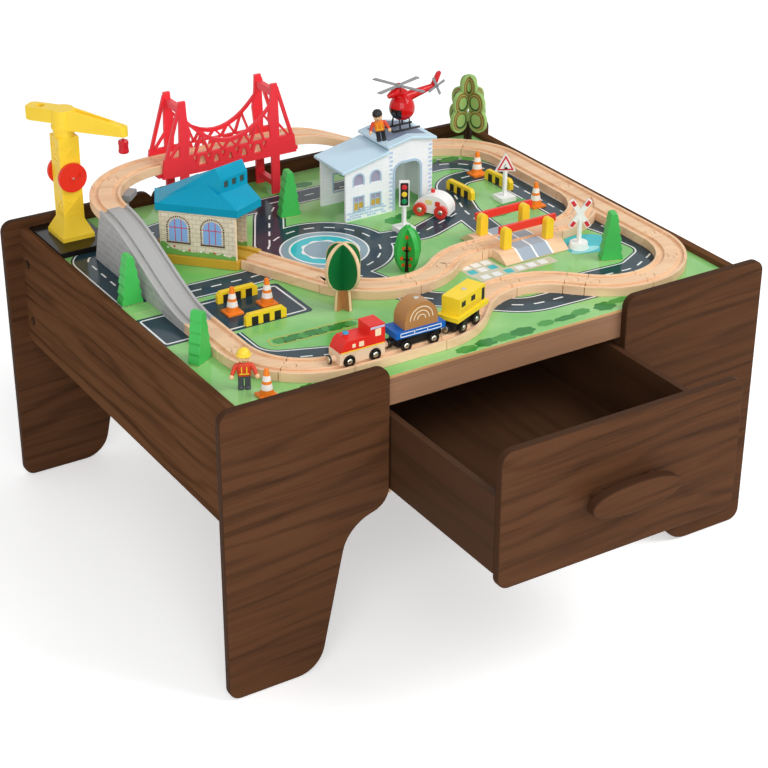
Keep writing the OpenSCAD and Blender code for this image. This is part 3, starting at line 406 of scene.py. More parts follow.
def arch_line(w, h, n=14):
    """Window outline: a straight sill and sides under a half circle, standing on y = 0."""
    t = np.linspace(0, np.pi, n)
    top = np.c_[w / 2 * np.cos(t), h - w / 2 + w / 2 * np.sin(t)]
    return np.concatenate([[[-w / 2, 0], [w / 2, 0]], top])


def door_line(w, h, r, n=9):
    """Doorway outline: a sill on y = 0, straight sides and a flat head with corners of radius r."""
    t = np.linspace(0, np.pi / 2, n)
    right = np.c_[w / 2 - r + r * np.cos(t), h - r + r * np.sin(t)]
    left = np.c_[r - w / 2 - r * np.sin(t), h - r + r * np.cos(t)]
    return np.concatenate([[[-w / 2, 0], [w / 2, 0]], right, left])


def rim_line(outer, inner):
    """Outline of the strip between two outlines that both start at the left end of their sill."""
    return np.concatenate([outer[1:], outer[:1], inner[:1], inner[:0:-1]])


def frame_lines(w, h, wi, hi):
    """Outlines of the four bars of a w by h frame about its opening of wi by hi."""
    t, s = (h - hi) / 2, (w - wi) / 2
    return ([box_line(w, t, 0.1, (0, k * (hi + t) / 2)) for k in (-1, 1)]
            + [box_line(s, hi, 0.1, (k * (wi + s) / 2, 0)) for k in (-1, 1)])


def lathe(profile, n=32):
    """Radius and height pairs spun about z; ends on the axis close by themselves."""
    p = np.asarray(profile, float)
    t = np.linspace(0, 2 * np.pi, n, endpoint=False)
    rows = np.stack([p[:, :1] * np.cos(t), p[:, :1] * np.sin(t), np.repeat(p[:, 1:], n, 1)], -1)
    return stack(rows, caps=False)


def bored(profile, n):
    """A spun ring whose profile closes on itself, so it keeps its bore."""
    p = np.asarray(profile, float)
    return lathe(np.concatenate([p, p[:1]]), n)


def disc(r, h, edge=0.4, n=32):
    """A round button of height h with a rounded rim."""
    return lathe([[0, 0], [r, 0], [r, h - edge], [r - 0.3 * edge, h - 0.3 * edge], [r - edge, h], [0, h]], n)


def ball(radii, at=(0, 0, 0), n=24, m=14):
    """Ellipsoid grid over longitude and latitude."""
    p = np.linspace(0, np.pi, m)
    v, f = lathe(np.c_[np.sin(p), -np.cos(p)], n)
    return v * np.asarray(radii, float) + at, f


def tube(path, radius, n=12):
    """A round bar along a path; radius may change along it, and both ends close to a point."""
    p = np.asarray(path, float)
    r = np.broadcast_to(np.asarray(radius, float), len(p))
    d = np.gradient(p, axis=0)
    d /= np.linalg.norm(d, axis=1)[:, None]
    up = np.where(np.abs(d[:, 2:]) > 0.95, [[1.0, 0, 0]], [[0.0, 0, 1]])
    a = np.cross(d, up)
    a /= np.linalg.norm(a, axis=1)[:, None]
    b = np.cross(d, a)
    t = np.linspace(0, 2 * np.pi, n, endpoint=False)
    ring = a[:, None] * np.cos(t)[:, None] + b[:, None] * np.sin(t)[:, None]
    rows = p[:, None] + ring * r[:, None, None]
    rows = np.concatenate([rows[:1] * 0 + p[0], rows, rows[:1] * 0 + p[-1]])
    return stack(rows, caps=False)


def ribbon(path, w, z, h=0.12):
    """A painted stripe of width w along a plan path, as a thin slab on height z."""
    p = np.asarray(path, float)
    d = np.gradient(p, axis=0)
    d /= np.linalg.norm(d, axis=1)[:, None]
    side = np.c_[-d[:, 1], d[:, 0]] * w / 2
    lo, hi = np.full((len(p), 1), z), np.full((len(p), 1), z + h)
    corners = [np.c_[p - side, lo], np.c_[p + side, lo], np.c_[p + side, hi], np.c_[p - side, hi]]
    return stack(np.stack(corners, 1))


def loop_ribbon(outline, w, z):
    """A painted stripe along a closed outline."""
    return ribbon(np.vstack([outline, outline[:2]]), w, z)


def bent(points, r=30.0, step=4.0):
    """A path through corner points, each corner rounded by radius r."""
    p = np.asarray(points, float)
    out = [p[:1]]
    for a, b, c in zip(p[:-2], p[1:-1], p[2:]):
        u, v = (a - b) / np.linalg.norm(a - b), (c - b) / np.linalg.norm(c - b)
        half = math.acos(np.clip(u @ v, -1, 1)) / 2
        mid = b + (u + v) / np.linalg.norm(u + v) * r / math.sin(half)
        s, e = b + u * r / math.tan(half) - mid, b + v * r / math.tan(half) - mid
        t0 = math.atan2(s[1], s[0])
        k = (math.atan2(e[1], e[0]) - t0 + math.pi) % (2 * math.pi) - math.pi
        t = t0 + k * np.linspace(0, 1, max(3, int(abs(k) * r / step)))
        out.append(mid + r * np.c_[np.cos(t), np.sin(t)])
    return np.concatenate(out + [p[-1:]])


def dashes(path, w, z, on=13.0, off=12.0):
    """Stripes of a path, each on long and off apart."""
    p = np.asarray(path, float)
    s = np.r_[0, np.cumsum(np.linalg.norm(np.diff(p, axis=0), axis=1))]
    starts = np.arange(off / 2, s[-1] - on, on + off)
    return [ribbon(np.c_[np.interp(q, s, p[:, 0]), np.interp(q, s, p[:, 1])], w, z)
            for q in (a + np.linspace(0, on, 5) for a in starts)]


# Objects
def dress(obj, mat, body, width=0.0, segments=2, limit=32.0):
    """Material, body, rounded edges and smooth shading for a finished mesh."""
    obj.data.materials.clear()
    obj.data.materials.append(mat)
    obj.data.polygons.foreach_set("use_smooth", np.ones(len(obj.data.polygons), dtype=bool))
    obj.data.set_sharp_from_angle(angle=math.radians(limit + 4))
    if width:
        b = obj.modifiers.new("rounded", "BEVEL")
        b.width, b.segments = width / 1000, segments
        b.limit_method, b.angle_limit, b.harden_normals = "ANGLE", math.radians(limit), True
    if body:
        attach(obj, body)
    return obj


def linked(name, mesh):
    """A new object of the scene at the origin."""
    obj = bpy.data.objects.new(name, mesh)
    bpy.context.scene.collection.objects.link(obj)
    return obj


def piece(name, parts, mat, body="table", replaces=(), width=0.0, segments=2):
    """Joins parts into one object in the shared frame."""
    verts, faces, base = [], [], 0
    for v, f in parts:
        verts.append(v)
        faces += [[i + base for i in q] for q in f]
        base += len(v)
    mesh = bpy.data.meshes.new(name)
    mesh.from_pydata(((np.concatenate(verts) - MID) / 1000).tolist(), [], faces)
    bm = bmesh.new()
    bm.from_mesh(mesh)
    bmesh.ops.remove_doubles(bm, verts=bm.verts, dist=1e-6)
    bmesh.ops.recalc_face_normals(bm, faces=bm.faces)
    bm.to_mesh(mesh)
    bm.free()
    obj = dress(linked(name, mesh), mat, body, width, segments)
    if replaces:
        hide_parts(*replaces)
    return obj


def soften(nodes, mat, width, name=None, segments=2, limit=32.0):
    """Copies of CAD nodes, merged and with rounded edges, in their place."""
    for node in nodes.split():
        mesh = frame["nodes"][node].data.copy()
        bm = bmesh.new()
        bm.from_mesh(mesh)
        bmesh.ops.remove_doubles(bm, verts=bm.verts, dist=2e-6)
        bmesh.ops.dissolve_limit(bm, angle_limit=math.radians(0.6), verts=bm.verts, edges=bm.edges)
        bm.to_mesh(mesh)
        bm.free()
        obj = linked(name or node + "_finished", mesh)
        dress(obj, mat, BODY[node], width, segments, limit)
        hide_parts(node)


# Table and drawer
EDGE_LINE = 3.5
BOLT_FACES, BOLT_Y, BOLT_Z = ((22, -1), (678, 1)), (26, 532), (219, 294)


def board_material():
    """Green print on the face; on the edges bare ply above the line where the rail's foil begins."""
    m, t, s, co = material("board_faces", 0.28)
    top = maths(t, "GREATER_THAN", xyz(t, co["Normal"])[2], 0.5)
    fade = add(t, "MapRange", {0: noise(t, co["Object"], 9.0, 4.0), 1: 0.4, 2: 0.68}).outputs[0]
    green = mix_colour(t, fade, srgb(152, 206, 128), srgb(106, 186, 92))
    g = add(t, "Group", {"Vector": co["Object"], "Light": srgb(214, 170, 116), "Dark": srgb(186, 138, 88),
                         "Bands": 30.0, "Bend": 2.0, "Streak": 0.4}, node_tree=GRAIN)
    bare = maths(t, "GREATER_THAN", xyz(t, co["Object"])[2], (BOARD_Z - EDGE_LINE) / 1000)
    side = mix_colour(t, bare, srgb(150, 111, 84), g.outputs["Color"])
    t.links.new(mix_colour(t, top, side, green), s.inputs["Base Color"])
    t.links.new(maths(t, "MULTIPLY_ADD", top, -0.36, 0.5), s.inputs["Roughness"])
    bump(t, s, g.outputs["Height"], 0.03, 0.0003)
    return m


def build_table():
    soften("leg_front_left leg_front_right leg_back_left leg_back_right back_panel drawer_front", walnut, 1.8,
           segments=3)
    soften("drawer_handle", walnut, 2.2, segments=3)
    # the side rails take the walnut copy that is painted lighter in place of light
    soften("side_rail_left side_rail_right", walnut_side_painted_lighter, 1.0)
    soften("front_rail", rail_foil, 0.8)
    soften("board_front board_back", board_material(), 0.5)
    soften("partitions drawer_sides drawer_back drawer_bottom handle_posts", walnut_inside, 0.8)
    soften("battens", batten_wood, 0.8)
    soften("rail_bolts", P.bolt_black, 0.4)
    rim = bored([[4.3, 0], [5.4, 0], [5.2, 0.35], [4.3, 0.35]], 28)
    rims = [put(rim, (x, y, z), roll=k * 90) for x, k in BOLT_FACES for y in BOLT_Y for z in BOLT_Z]
    piece("bolt_rims", rims, P.bolt_black)


# Railway
CROSSING = (456, 214.978, 0)
ROAD_FOOT = 329.5


def build_railway():
    soften("track_straights track_curves track_switch crossing_block", beech, 0.6)
    soften("track_down", beech_x, 0.6, limit=40)
    stone = bricks("ramp_stone", ((176, 175, 174), (166, 165, 164)), (188, 187, 186), 90, (16, 8, 0.9),
                   depth=0.0006, side_only=True)
    soften("ramp", stone, 0.8, limit=40)
    soften("curve_pier", P.pier_grey, 1.2)
    soften("bridge", P.bridge_red, 0.5)
    soften("crossing_posts", P.post_yellow, 0.8)
    soften("gate_near gate_far", P.gate_red, 0.8)
    road, lines = [], []
    stripes = ((lines, 26, 28.4), (road, 28.4, 47.8), (lines, 47.8, 50.2), (road, 50.2, 69.6),
               (lines, 69.6, 72))
    for y0, y1, z0, z1 in ((-47, -32, ROAD_FOOT, TRACK_Z), (-32, -14.5, TRACK_Z, TRACK_Z),
                           (-7.9, 7.9, TRACK_Z, TRACK_Z), (14.5, 32, TRACK_Z, TRACK_Z),
                           (32, 47, TRACK_Z, ROAD_FOOT)):
        for target, x0, x1 in stripes:
            c = np.array([[x0, y0, z0], [x1, y0, z0], [x1, y1, z1], [x0, y1, z1]], float)
            target.append(plate(c + CROSSING, 0.25))
    piece("crossing_road", road, P.road_grey)
    piece("crossing_lines", lines, P.line_white)


# Board print
PRINT_LAYER, PRINT_FOOT = 0.4, 0.05
HUB = np.array([306.0, 318.0])
ROADS = (([(612, 250), (612, 474), (130, 474), (130, 440)], 52),
         ([(612, 420), (545, 420), (512, 330), (504, 268)], 40),
         ([(504, 330), (430, 300), (372, 312)], 40),
         ([(510, 92), (584, 88), (638, 116), (630, 190), (612, 262)], 34),
         ([(300, 250), (330, 150), (420, 70), (540, 66)], 60),
         ([(256, 360), (300, 440), (330, 474)], 60),
         ([(240, 300), (196, 296), (112, 298)], 40),
         ([(56, 300), (56, 440), (92, 452)], 20),
         ([(101, 178), (101, 112), (196, 76), (250, 48)], 45))


def lay(name, parts, mat):
    """Printed shapes on the board, pressed to a share of their drawn height above it."""
    foot = (0, 0, BOARD_Z * (1 - PRINT_LAYER))
    piece("print_" + name, [(v * (1, 1, PRINT_LAYER) + foot, f) for v, f in parts], mat)


def build_print():
    """Roads are ribbons along rounded paths in three layers; bushes are ellipses with wavy edges."""
    z = BOARD_Z + PRINT_FOOT
    turn = np.linspace(0, 2 * np.pi, 73)
    circle = np.c_[np.cos(turn), np.sin(turn)]
    dark, pale, mid, dash = [], [], [], []
    for k, (points, r) in enumerate(ROADS):
        path = bent(points, r)
        for target, w, lift in ((dark, 40, 0.0), (pale, 36, 0.12), (mid, 32.4, 0.24)):
            target.append(ribbon(path, w, z + lift + 0.004 * k))
        dash += dashes(path, 2.2, z + 0.42)
    for target, r, lift in ((dark, 84, 0.05), (pale, 82, 0.17), (mid, 80, 0.29)):
        target.append(flat(ellipse(r, r, 72, HUB), z + lift, 0.12))
    dash += dashes(HUB + 66 * circle, 2.2, z + 0.46)
    for at, outer, inner, w in (((158, 226), (112, 84, 5), (100, 72, 3), 2.4),
                                ((54, 226), (40, 74, 4), (30, 64, 3), 2.2)):
        mid.append(flat(box_line(*outer, at), z + 0.3, 0.12))
        pale.append(loop_ribbon(box_line(*inner, at), w, z + 0.44))
    lay("road_edges", dark, P.print_rim)
    lay("road_lines", pale + dash, P.print_white)
    lay("roads", mid, P.print_road)
    rings = ((53, P.print_white), (51, P.print_plaza), (42, P.print_white), (39.5, P.print_water),
             (27, P.print_white), (24, P.print_plaza))
    for k, (r, mat) in enumerate(rings):
        wave = 1 + (0.05 * np.sin(9 * turn[:-1, None]) if k == 4 else 0)
        lay(f"plaza_{k}", [flat(HUB + r * circle[:-1] * wave, z + 0.42 + 0.12 * k, 0.1)], mat)
    lay("pond", [flat(ellipse(32, 26, 48, (578, 172)), z + 0.3, 0.12)], P.print_water)
    lay("pond_shine", [flat(ellipse(20, 7, 32, (566, 158)), z + 0.44, 0.1)], P.print_shine)
    squares = [(424 + 16 * k, 157) for k in range(6)]
    squares += [(418 + 14 * i, 175 + 14 * j) for i in range(3) for j in range(2)]
    tiles = [flat(box_line(10.5, 10.5, 1, q), z + 0.46, 0.1) for q in squares]
    lay("paving", [flat(box_line(108, 18, 3, (466, 157)), z + 0.3, 0.12),
                   flat(box_line(46, 40, 3, (432, 180)), z + 0.32, 0.12)], P.print_paving)
    lay("paving_tiles", [q for k, q in enumerate(tiles) if k % 4 != 2], P.print_white)
    lay("paving_blue", tiles[2::4], P.print_water)
    rng = np.random.default_rng(4)
    bushes, shades = [], []
    for x0, y0, n, dx, dy in ((44, 22, 5, 24, 3), (300, 19, 9, 27, 1), (560, 20, 4, 26, 2),
                              (350, 500, 6, 34, 3), (560, 490, 3, 30, -8), (540, 300, 3, 18, 10),
                              (420, 350, 3, 16, 4)):
        for k in range(n):
            a, b = rng.uniform(9, 18), rng.uniform(5, 10)
            c = (x0 + k * dx + rng.uniform(-4, 4), y0 + k * dy + rng.uniform(-3, 3))
            o = ellipse(a, b, 72, (0, 0), rng.uniform(0, 6))
            o = o * (1 + 0.07 * np.sin(7 * turn[:-1, None])) + c
            (bushes if k % 2 else shades).append(flat(o, z + 0.3 + 0.004 * k, 0.1))
    lay("bushes", bushes, P.print_leaf)
    lay("grass_shade", shades, P.print_shade)
    row = lambda o: o @ rot(-2)[:2, :2].T + (188, 137)
    lay("hedge_rim", [loop_ribbon(row(box_line(108, 17, 4)), 1.5, z + 0.44)], P.print_straw)
    wave = 1 + 0.09 * np.sin(8 * turn[:-1, None])
    rows = zip(np.linspace(-43, 43, 10), (1, -1) * 5, (7, 5.5, 8, 6, 7) * 2)
    clumps = [(flat(row(ellipse(a, 6.4, 72) * wave + (x, y)), z + 0.6 + 0.004 * k, 0.1), k % 3)
              for k, (x, y, a) in enumerate(rows)]
    gaps = [flat(row(ellipse(4.2, 6.6, 24, (x, 0))), z + 0.48, 0.1) for x in np.linspace(-38, 38, 9)]
    lay("hedge", [p for p, k in clumps if k], P.print_leaf)
    lay("hedge_light", [p for p, k in clumps if not k], P.print_shade)
    lay("hedge_shade", gaps, P.bark)


# Crane
CRANE = np.array([68.0, 502.0])
HEAD, WINCH_Z = 467.0, 411.0
JIB_TURN, HOOK_REACH = -52.0, 76.0


def on_jib(part):
    """A part in the jib's own directions, with x along the jib."""
    return put(part, (*CRANE, HEAD), JIB_TURN)


def build_crane():
    """The weight and the collar are spun profiles, and the line is a tube."""
    soften("crane_platform", P.crane_black, 1.0)
    soften("crane_tower", P.crane_yellow, 0.6)
    soften("crane_jib", P.crane_yellow, 1.2)
    soften("crane_winch", P.winch_red, 0.8)
    for name, r, h, y, mat in (("winch_caps", 4.2, 1.2, 17.7, P.winch_red),
                               ("winch_pins", 1.3, 0.8, 18.8, steel)):
        parts = [put(disc(r, h), (CRANE[0], CRANE[1] + k * y, WINCH_Z), 0, -90 * k) for k in (-1, 1)]
        piece(name, parts, mat, "crane_winch")
    weight = [[0, -20], [5.2, -20], [6, -19.2], [6, -16], [5.6, -15.6], [5.6, -10], [6, -9.6], [6, -6],
              [5.2, -5], [1.4, -5], [1.4, -3], [0, -3]]
    hook = on_jib(put(lathe(weight), (HOOK_REACH, 0, 0)))
    piece("hook_weight", [hook], P.weight_red, "crane_hook", ("crane_hook",))
    start, end = np.array([HOOK_REACH, 0, 4.0]), np.array([HOOK_REACH, 0, -4.0])
    t = np.linspace(0, 1, 9)[:, None]
    bar = on_jib(tube(start + (end - start) * t, 0.6, 8))
    line = piece("hoist_line", [bar], P.white_plastic, None)
    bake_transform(line)
    x = np.linspace(14, 64, 6)
    slope = 24.2 - 12 * (x - 10) / (HOOK_REACH - 4)
    rails = [on_jib(tube(np.c_[x, np.full(6, y), slope], 0.8, 8)) for y in (-3.1, 3.1)]
    piece("jib_rails", rails, P.crane_yellow, "crane_jib")
    collar = bored([[13.2, 0.4], [14.2, 0.8], [14.2, 4.2], [13.4, 5]], 40)
    piece("jib_collar", [on_jib(collar)], P.crane_yellow, "crane_jib")


# Station
STATION_TURN, MOUTH = 133.7, (213.312, 328.239, 0)
NEAR_WALL = 20.0
ARC_X, ARC_Y, ARC_R = 56.0, 152.2, 182.2
CLERESTORY = np.array([[28.0, 12.0], [9.0, -25.0]])


def in_station(part):
    """A part in the station's own directions, with x from the mouth to the far end."""
    return put(part, MOUTH, STATION_TURN)


def on_wall(part, x, near=True):
    """A standing part about x = 0, put at x along the near wall, or beside it on the far wall's arc."""
    if near:
        return in_station(put(part, (x, NEAR_WALL, 0), 180))
    a = math.asin((x - ARC_X) / ARC_R)
    return in_station(put(part, (x, ARC_Y - ARC_R * math.cos(a), 0), math.degrees(a)))


def build_station():
    """Windows are arches with a row of round studs about them; the bank of grass is a bell curve."""
    soften("station_base", P.ochre, 0.8)
    wall = bricks("station_stone", ((236, 224, 202), (226, 212, 188)), (206, 190, 164), -STATION_TURN,
                  (9.5, 5.5, 0.5), (345, (118, 172, 84)), 0.3, 0.0003, False, (236, 212, 176))
    soften("station_walls", wall, 0.4)
    soften("station_roof", P.roof_teal, 1.0, segments=3)
    panes, frames, bars, sills = [], [], [], []
    sill, w, h, edge = 356.5, 22.0, 28.0, 13.6
    spring = sill + h - w / 2
    rise = np.arange(sill + 0.5, spring, 2.6)
    t = np.linspace(0, np.pi, 17)
    dots = np.concatenate([np.c_[np.full(len(rise), k * edge), rise] for k in (-1, 1)]
                          + [np.c_[edge * np.cos(t), spring + edge * np.sin(t)]])
    for near in (True, False):
        for x in (37.8, 78.6):
            on = lambda outline, y, deep: on_wall(standing(outline, y, deep), x, near)
            panes.append(on(arch_line(w, h) + (0, sill), -0.3, 0.5))
            frames += [on(ellipse(0.95, 0.95, 10, d), -0.35, 0.5) for d in dots]
            for u in (-3.8, 3.8):
                tall = h - w / 2 + math.sqrt(w * w / 4 - u * u)
                bars.append(on(box_line(0.8, tall, 0.2, (u, sill + tall / 2)), -0.5, 0.3))
            bars.append(on(box_line(w, 0.9, 0.3, (0, spring)), -0.5, 0.3))
            sills.append(on(box_line(29, 1.8, 0.5, (0, sill - 1.6)), -0.9, 1.1))
    u = np.linspace(-11, 26, 24)
    hill = np.concatenate([np.c_[u, 345 + 10 * np.exp(-((u + 8) / 9) ** 2)], [[26, 339.3], [-11, 339.3]]])
    bloom = lambda *spots: [on_wall(standing(ellipse(1.3, 1.1, 12, (0, z)), -0.5, 0.4), x) for x, z in spots]
    red, white = bloom((66, 347), (36, 346), (84, 350)), bloom((73, 345), (52, 346), (24, 345), (92, 348))
    rows = (("panes", panes, P.pane_blue), ("frames", frames, P.frame_brown), ("bars", bars, P.sign_red),
            ("sills", sills, P.frame_brown), ("hill", [on_wall(standing(hill, -0.25, 0.4), 90)], P.grass),
            ("flowers_red", red, P.sign_red), ("flowers_white", white, P.line_white))
    for name, parts, mat in rows:
        piece("station_" + name, parts, mat)
    d = CLERESTORY[1] - CLERESTORY[0]
    angle = math.degrees(math.atan2(d[1], d[0]))
    long = np.linalg.norm(d)
    panels = [standing(box_line(6.9, 7.9, 0.1, (k * long, 426)), 1.6, 0.6) for k in (0.2, 0.5, 0.8)]
    vents = [in_station(put(p, (*CLERESTORY[0], 0), angle)) for p in panels]
    piece("station_vents", vents, P.vent_dark)


# Hospital
HOSPITAL = np.array([369.08, 374.495, BOARD_Z])
WING_W, DOOR_X = 61.0, 88.0
RIDGE_X, BLOCK_EAVE, BLOCK_RISE, ROOF_T = 92.5, 84.0, 0.1905, 3.4


def block_roof(x):
    """Height of the block's roof above the board, highest along its ridge."""
    return BLOCK_EAVE + ROOF_T + BLOCK_RISE * (RIDGE_X - WING_W - abs(x - RIDGE_X))


def build_hospital():
    """Trims are strips between two outlines; bricks are rounded boxes in staggered rows, some left out."""
    wall = bricks("hospital_boards", ((244, 246, 249), (241, 243, 247)), (236, 239, 244), 0, (9, 4.5, 0.4),
                  None, 0.12, 0.0002)
    soften("hospital_walls", wall, 0.4)
    soften("hospital_roofs", P.roof_blue, 0.6)
    doorway = rim_line(door_line(42, 63, 13), door_line(36, 60, 10) - (0, 0.01))
    frames, low, high = [], [], []
    for x in (18.5, 42.5):
        frames.append(standing(rim_line(arch_line(17, 17), arch_line(13, 14) + (0, 1)) + (x, 43), -0.4, 0.6))
        frames += [standing(q + (x, 20.5), -0.4, 0.6) for q in frame_lines(16.4, 20.4, 13, 17)]
        low.append(standing(box_line(13.4, 10.4, 0.3, (x, 17.0)), 1.2, 0.6))
        high.append(standing(box_line(13.4, 7.2, 0.3, (x, 25.8)), 1.3, 0.6))
        high.append(standing(arch_line(13.4, 14.4) + (x, 43.8), 1.2, 0.6))
        frames.append(standing(box_line(0.9, 17, 0.2, (x, 20.5)), 0.6, 0.7))
        frames.append(standing(box_line(13, 0.9, 0.2, (x, 22.2)), 0.6, 0.7))
    frames += [standing(q + (27, 27), 57.8, 0.6) for q in frame_lines(22, 26, 18, 22)]
    rng = np.random.default_rng(7)
    rows = [standing(box_line(6, 2.4, 0.3, (5 + 7 * k + 3.5 * (j % 2), 3 + 3.4 * j)), -0.3, 0.45)
            for j in range(4) for k in range(8) if 5 + 7 * k + 3.5 * (j % 2) < 57 and rng.uniform() > 0.25]
    quoins = [standing(box_line(4.5, 2.6, 0.4, (x + k % 2, 6 + 5.4 * k)), -0.3, 0.5)
              for x in (63.8, 120.2) for k in range(14)]
    for name, parts, mat in (("door_trim", [standing(doorway + (DOOR_X, 0), -0.7, 1.0)], P.trim_blue),
                             ("window_trim", frames, P.trim_blue), ("panes", low, P.pane_amber),
                             ("panes_upper", high, P.pane_lilac), ("base_bricks", rows, P.brick_blue),
                             ("quoins", quoins, P.brick_blue)):
        piece("hospital_" + name, [put(p, HOSPITAL) for p in parts], mat)
    corners = lambda x0, x1: ((x0, 8), (x1, 8), (x1, 58), (x0, 58))
    pad = [plate(np.array([[x, y, block_roof(x)] for x, y in corners(*span)]) + HOSPITAL, 0.3)
           for span in ((66, RIDGE_X), (RIDGE_X, 119))]
    piece("roof_pad", pad, P.pad_grey)


# Helicopter
HELI, PAD_Z = np.array([463.08, 400.495]), 421.7
MAIN_HUB, TAIL_HUB = (-3, 0, 53.6), (49, -3.2, 46.5)


def egg(r, u):
    """Cabin profile over u from 0 to pi: radius r sin u, a tenth fuller at the foot, height by 17 cos u."""
    return np.c_[r * np.sin(u) * (1 + 0.1 * np.cos(u)), 31 - 17 * np.cos(u)]


def build_helicopter():
    """A spun egg, a tapering tube for the tail, a tube swelling by a sine for the hump, skids and rotors."""
    at, foot = (*HELI, PAD_Z - 3), (*HELI, PAD_Z)
    u, s = np.linspace(0, np.pi, 25), np.linspace(0, 1, 14)
    hump = np.c_[-18 + 29 * s, 0 * s, 46.5 - 1.5 * s + 4 * np.sin(np.pi * s)]
    mast = [[0, 44], [5.4, 44], [5, 52], [3.4, 55.5], [1.5, 56], [1.5, 61.2], [0, 61.4]]
    fin = [[42, 48.5], [50, 47.5], [53.5, 55], [57.5, 64], [56, 66.3], [52, 65], [46.5, 56]]
    body = [put(lathe(egg(15.6, u), 36), (2, 0, 0)),
            tube(np.c_[6 + 45 * s, 0 * s, 41.5 + 8.2 * s], 6.8 - 3.9 * s, 18),
            tube(hump, 1 + 5 * np.sin(np.pi * (0.1 + 0.8 * s)), 18),
            put(lathe(mast, 24), (-3, 0, 0)), standing(fin, -1.5, 3)]
    body = [put(p, at) for p in body]
    piece("helicopter_shell", body, P.heli_red, "helicopter", ("helicopter_body",))
    glass = egg(15.9, u[6:13])
    t = np.radians(np.linspace(150, 236, 20))
    x, y = glass[:, :1] * np.cos(t) + 2, glass[:, :1] * np.sin(t)
    rows = np.stack([x, y, np.repeat(glass[:, 1:], 20, 1)], -1)
    inner = (rows[::-1] - (2, 0, 30)) * 0.97 + (2, 0, 30)
    shell = stack(np.concatenate([rows, inner]), closed=False, caps=False)
    piece("helicopter_glass", [put(shell, at)], P.glass_black, "helicopter")
    skid = []
    for y in (-9, 9):
        run = ((-19, 4.5), (-17, 2), (-14, 1.3), (0, 1.3), (18, 1.3), (22, 1.3))
        skid.append(tube([[x, y, z] for x, z in run], 1.3, 10))
        legs = ([[x, y, 1.6], [x, y * 0.95, 8], [x, y * 0.7, 15], [x, y * 0.4, 21]] for x in (-6, 8))
        skid += [tube(q, 1.1, 10) for q in legs]
    piece("helicopter_skids", [put(p, foot) for p in skid], P.cap_black, "helicopter")
    s = np.linspace(0, 1, 8)
    blade = np.c_[3 + 35 * s, 2.2 + 0.9 * s ** 0.5]
    blade = np.concatenate([blade * (1, -1), blade[::-1]])
    main = [put(flat(blade, 1.2, 1.3), turn=a) for a in (20, 110, 200, 290)]
    main.append(bored([[1.66, 0], [4.2, 0], [4.2, 3], [3.4, 4], [1.66, 4]], 28))
    main = [put(p, np.add(foot, MAIN_HUB)) for p in main]
    piece("rotor_blades", main, P.rotor_grey, "main_rotor", ("main_rotor",), 0.3)
    tail = [put(flat(blade * (0.33, 0.55), 0.6, 1.1), turn=a) for a in (25, 115, 205, 295)]
    tail.append(bored([[1.26, 0], [2.7, 0], [2.7, 2], [2.2, 2.4], [1.26, 2.4]], 20))
    tail = [put(p, np.add(foot, TAIL_HUB), 0, 90) for p in tail]
    piece("tail_blades", tail, P.rotor_grey, "tail_rotor", ("tail_rotor",), 0.2)


# Train and ambulance
LOCO, FLATCAR, COACH = (184.514, 46.0), (255.014, 46.0), (319.394, 54.333)
AMB = (475.928, 342.484)
COACH_TURN, AMB_TURN = 24.0, 125.5
CAR_AXLE, AMB_AXLE, MAGNET_Z = 14.8, 8.5, 16.8
TRAIN = (("loco", LOCO, 0, 15.5, 38.0, -34.4), ("flatcar", FLATCAR, 0, 17.0, 32.0, -32.4),
         ("coach", COACH, COACH_TURN, 13.0, 31.0, -31.4))


def wheel_dress(label, at, turn, base, half, z, mat):
    """Wheels of a vehicle's two axles: the CAD axle softened, and a steel cap on each wheel."""
    for end, k in (("front", -1), ("rear", 1)):
        name = f"{label}_axle_{end}"
        soften(name, mat, 0.5)
        dome = lathe([[0, 1.5], [1.6, 1.4], [2.9, 0.9], [3.5, 0], [0, 0]], 24)
        caps = [on_board(put(dome, (k * base, s * (half - 0.6), z), 0, -90 * s), at, turn) for s in (-1, 1)]
        piece(name + "_caps", caps, steel, name)


def side_marks(rows):
    """Thin marks on both sides of vehicles: rows give y on each side, depth, paint, slot and outlines."""
    for k, side in enumerate(("near", "far")):
        for name, body, at, turn, ys, deep, mat, slot, lines in rows:
            parts = [on_board(standing(q, ys[k], deep), at, turn) for q in lines]
            piece(f"{name}_{side}", parts, mat, body)


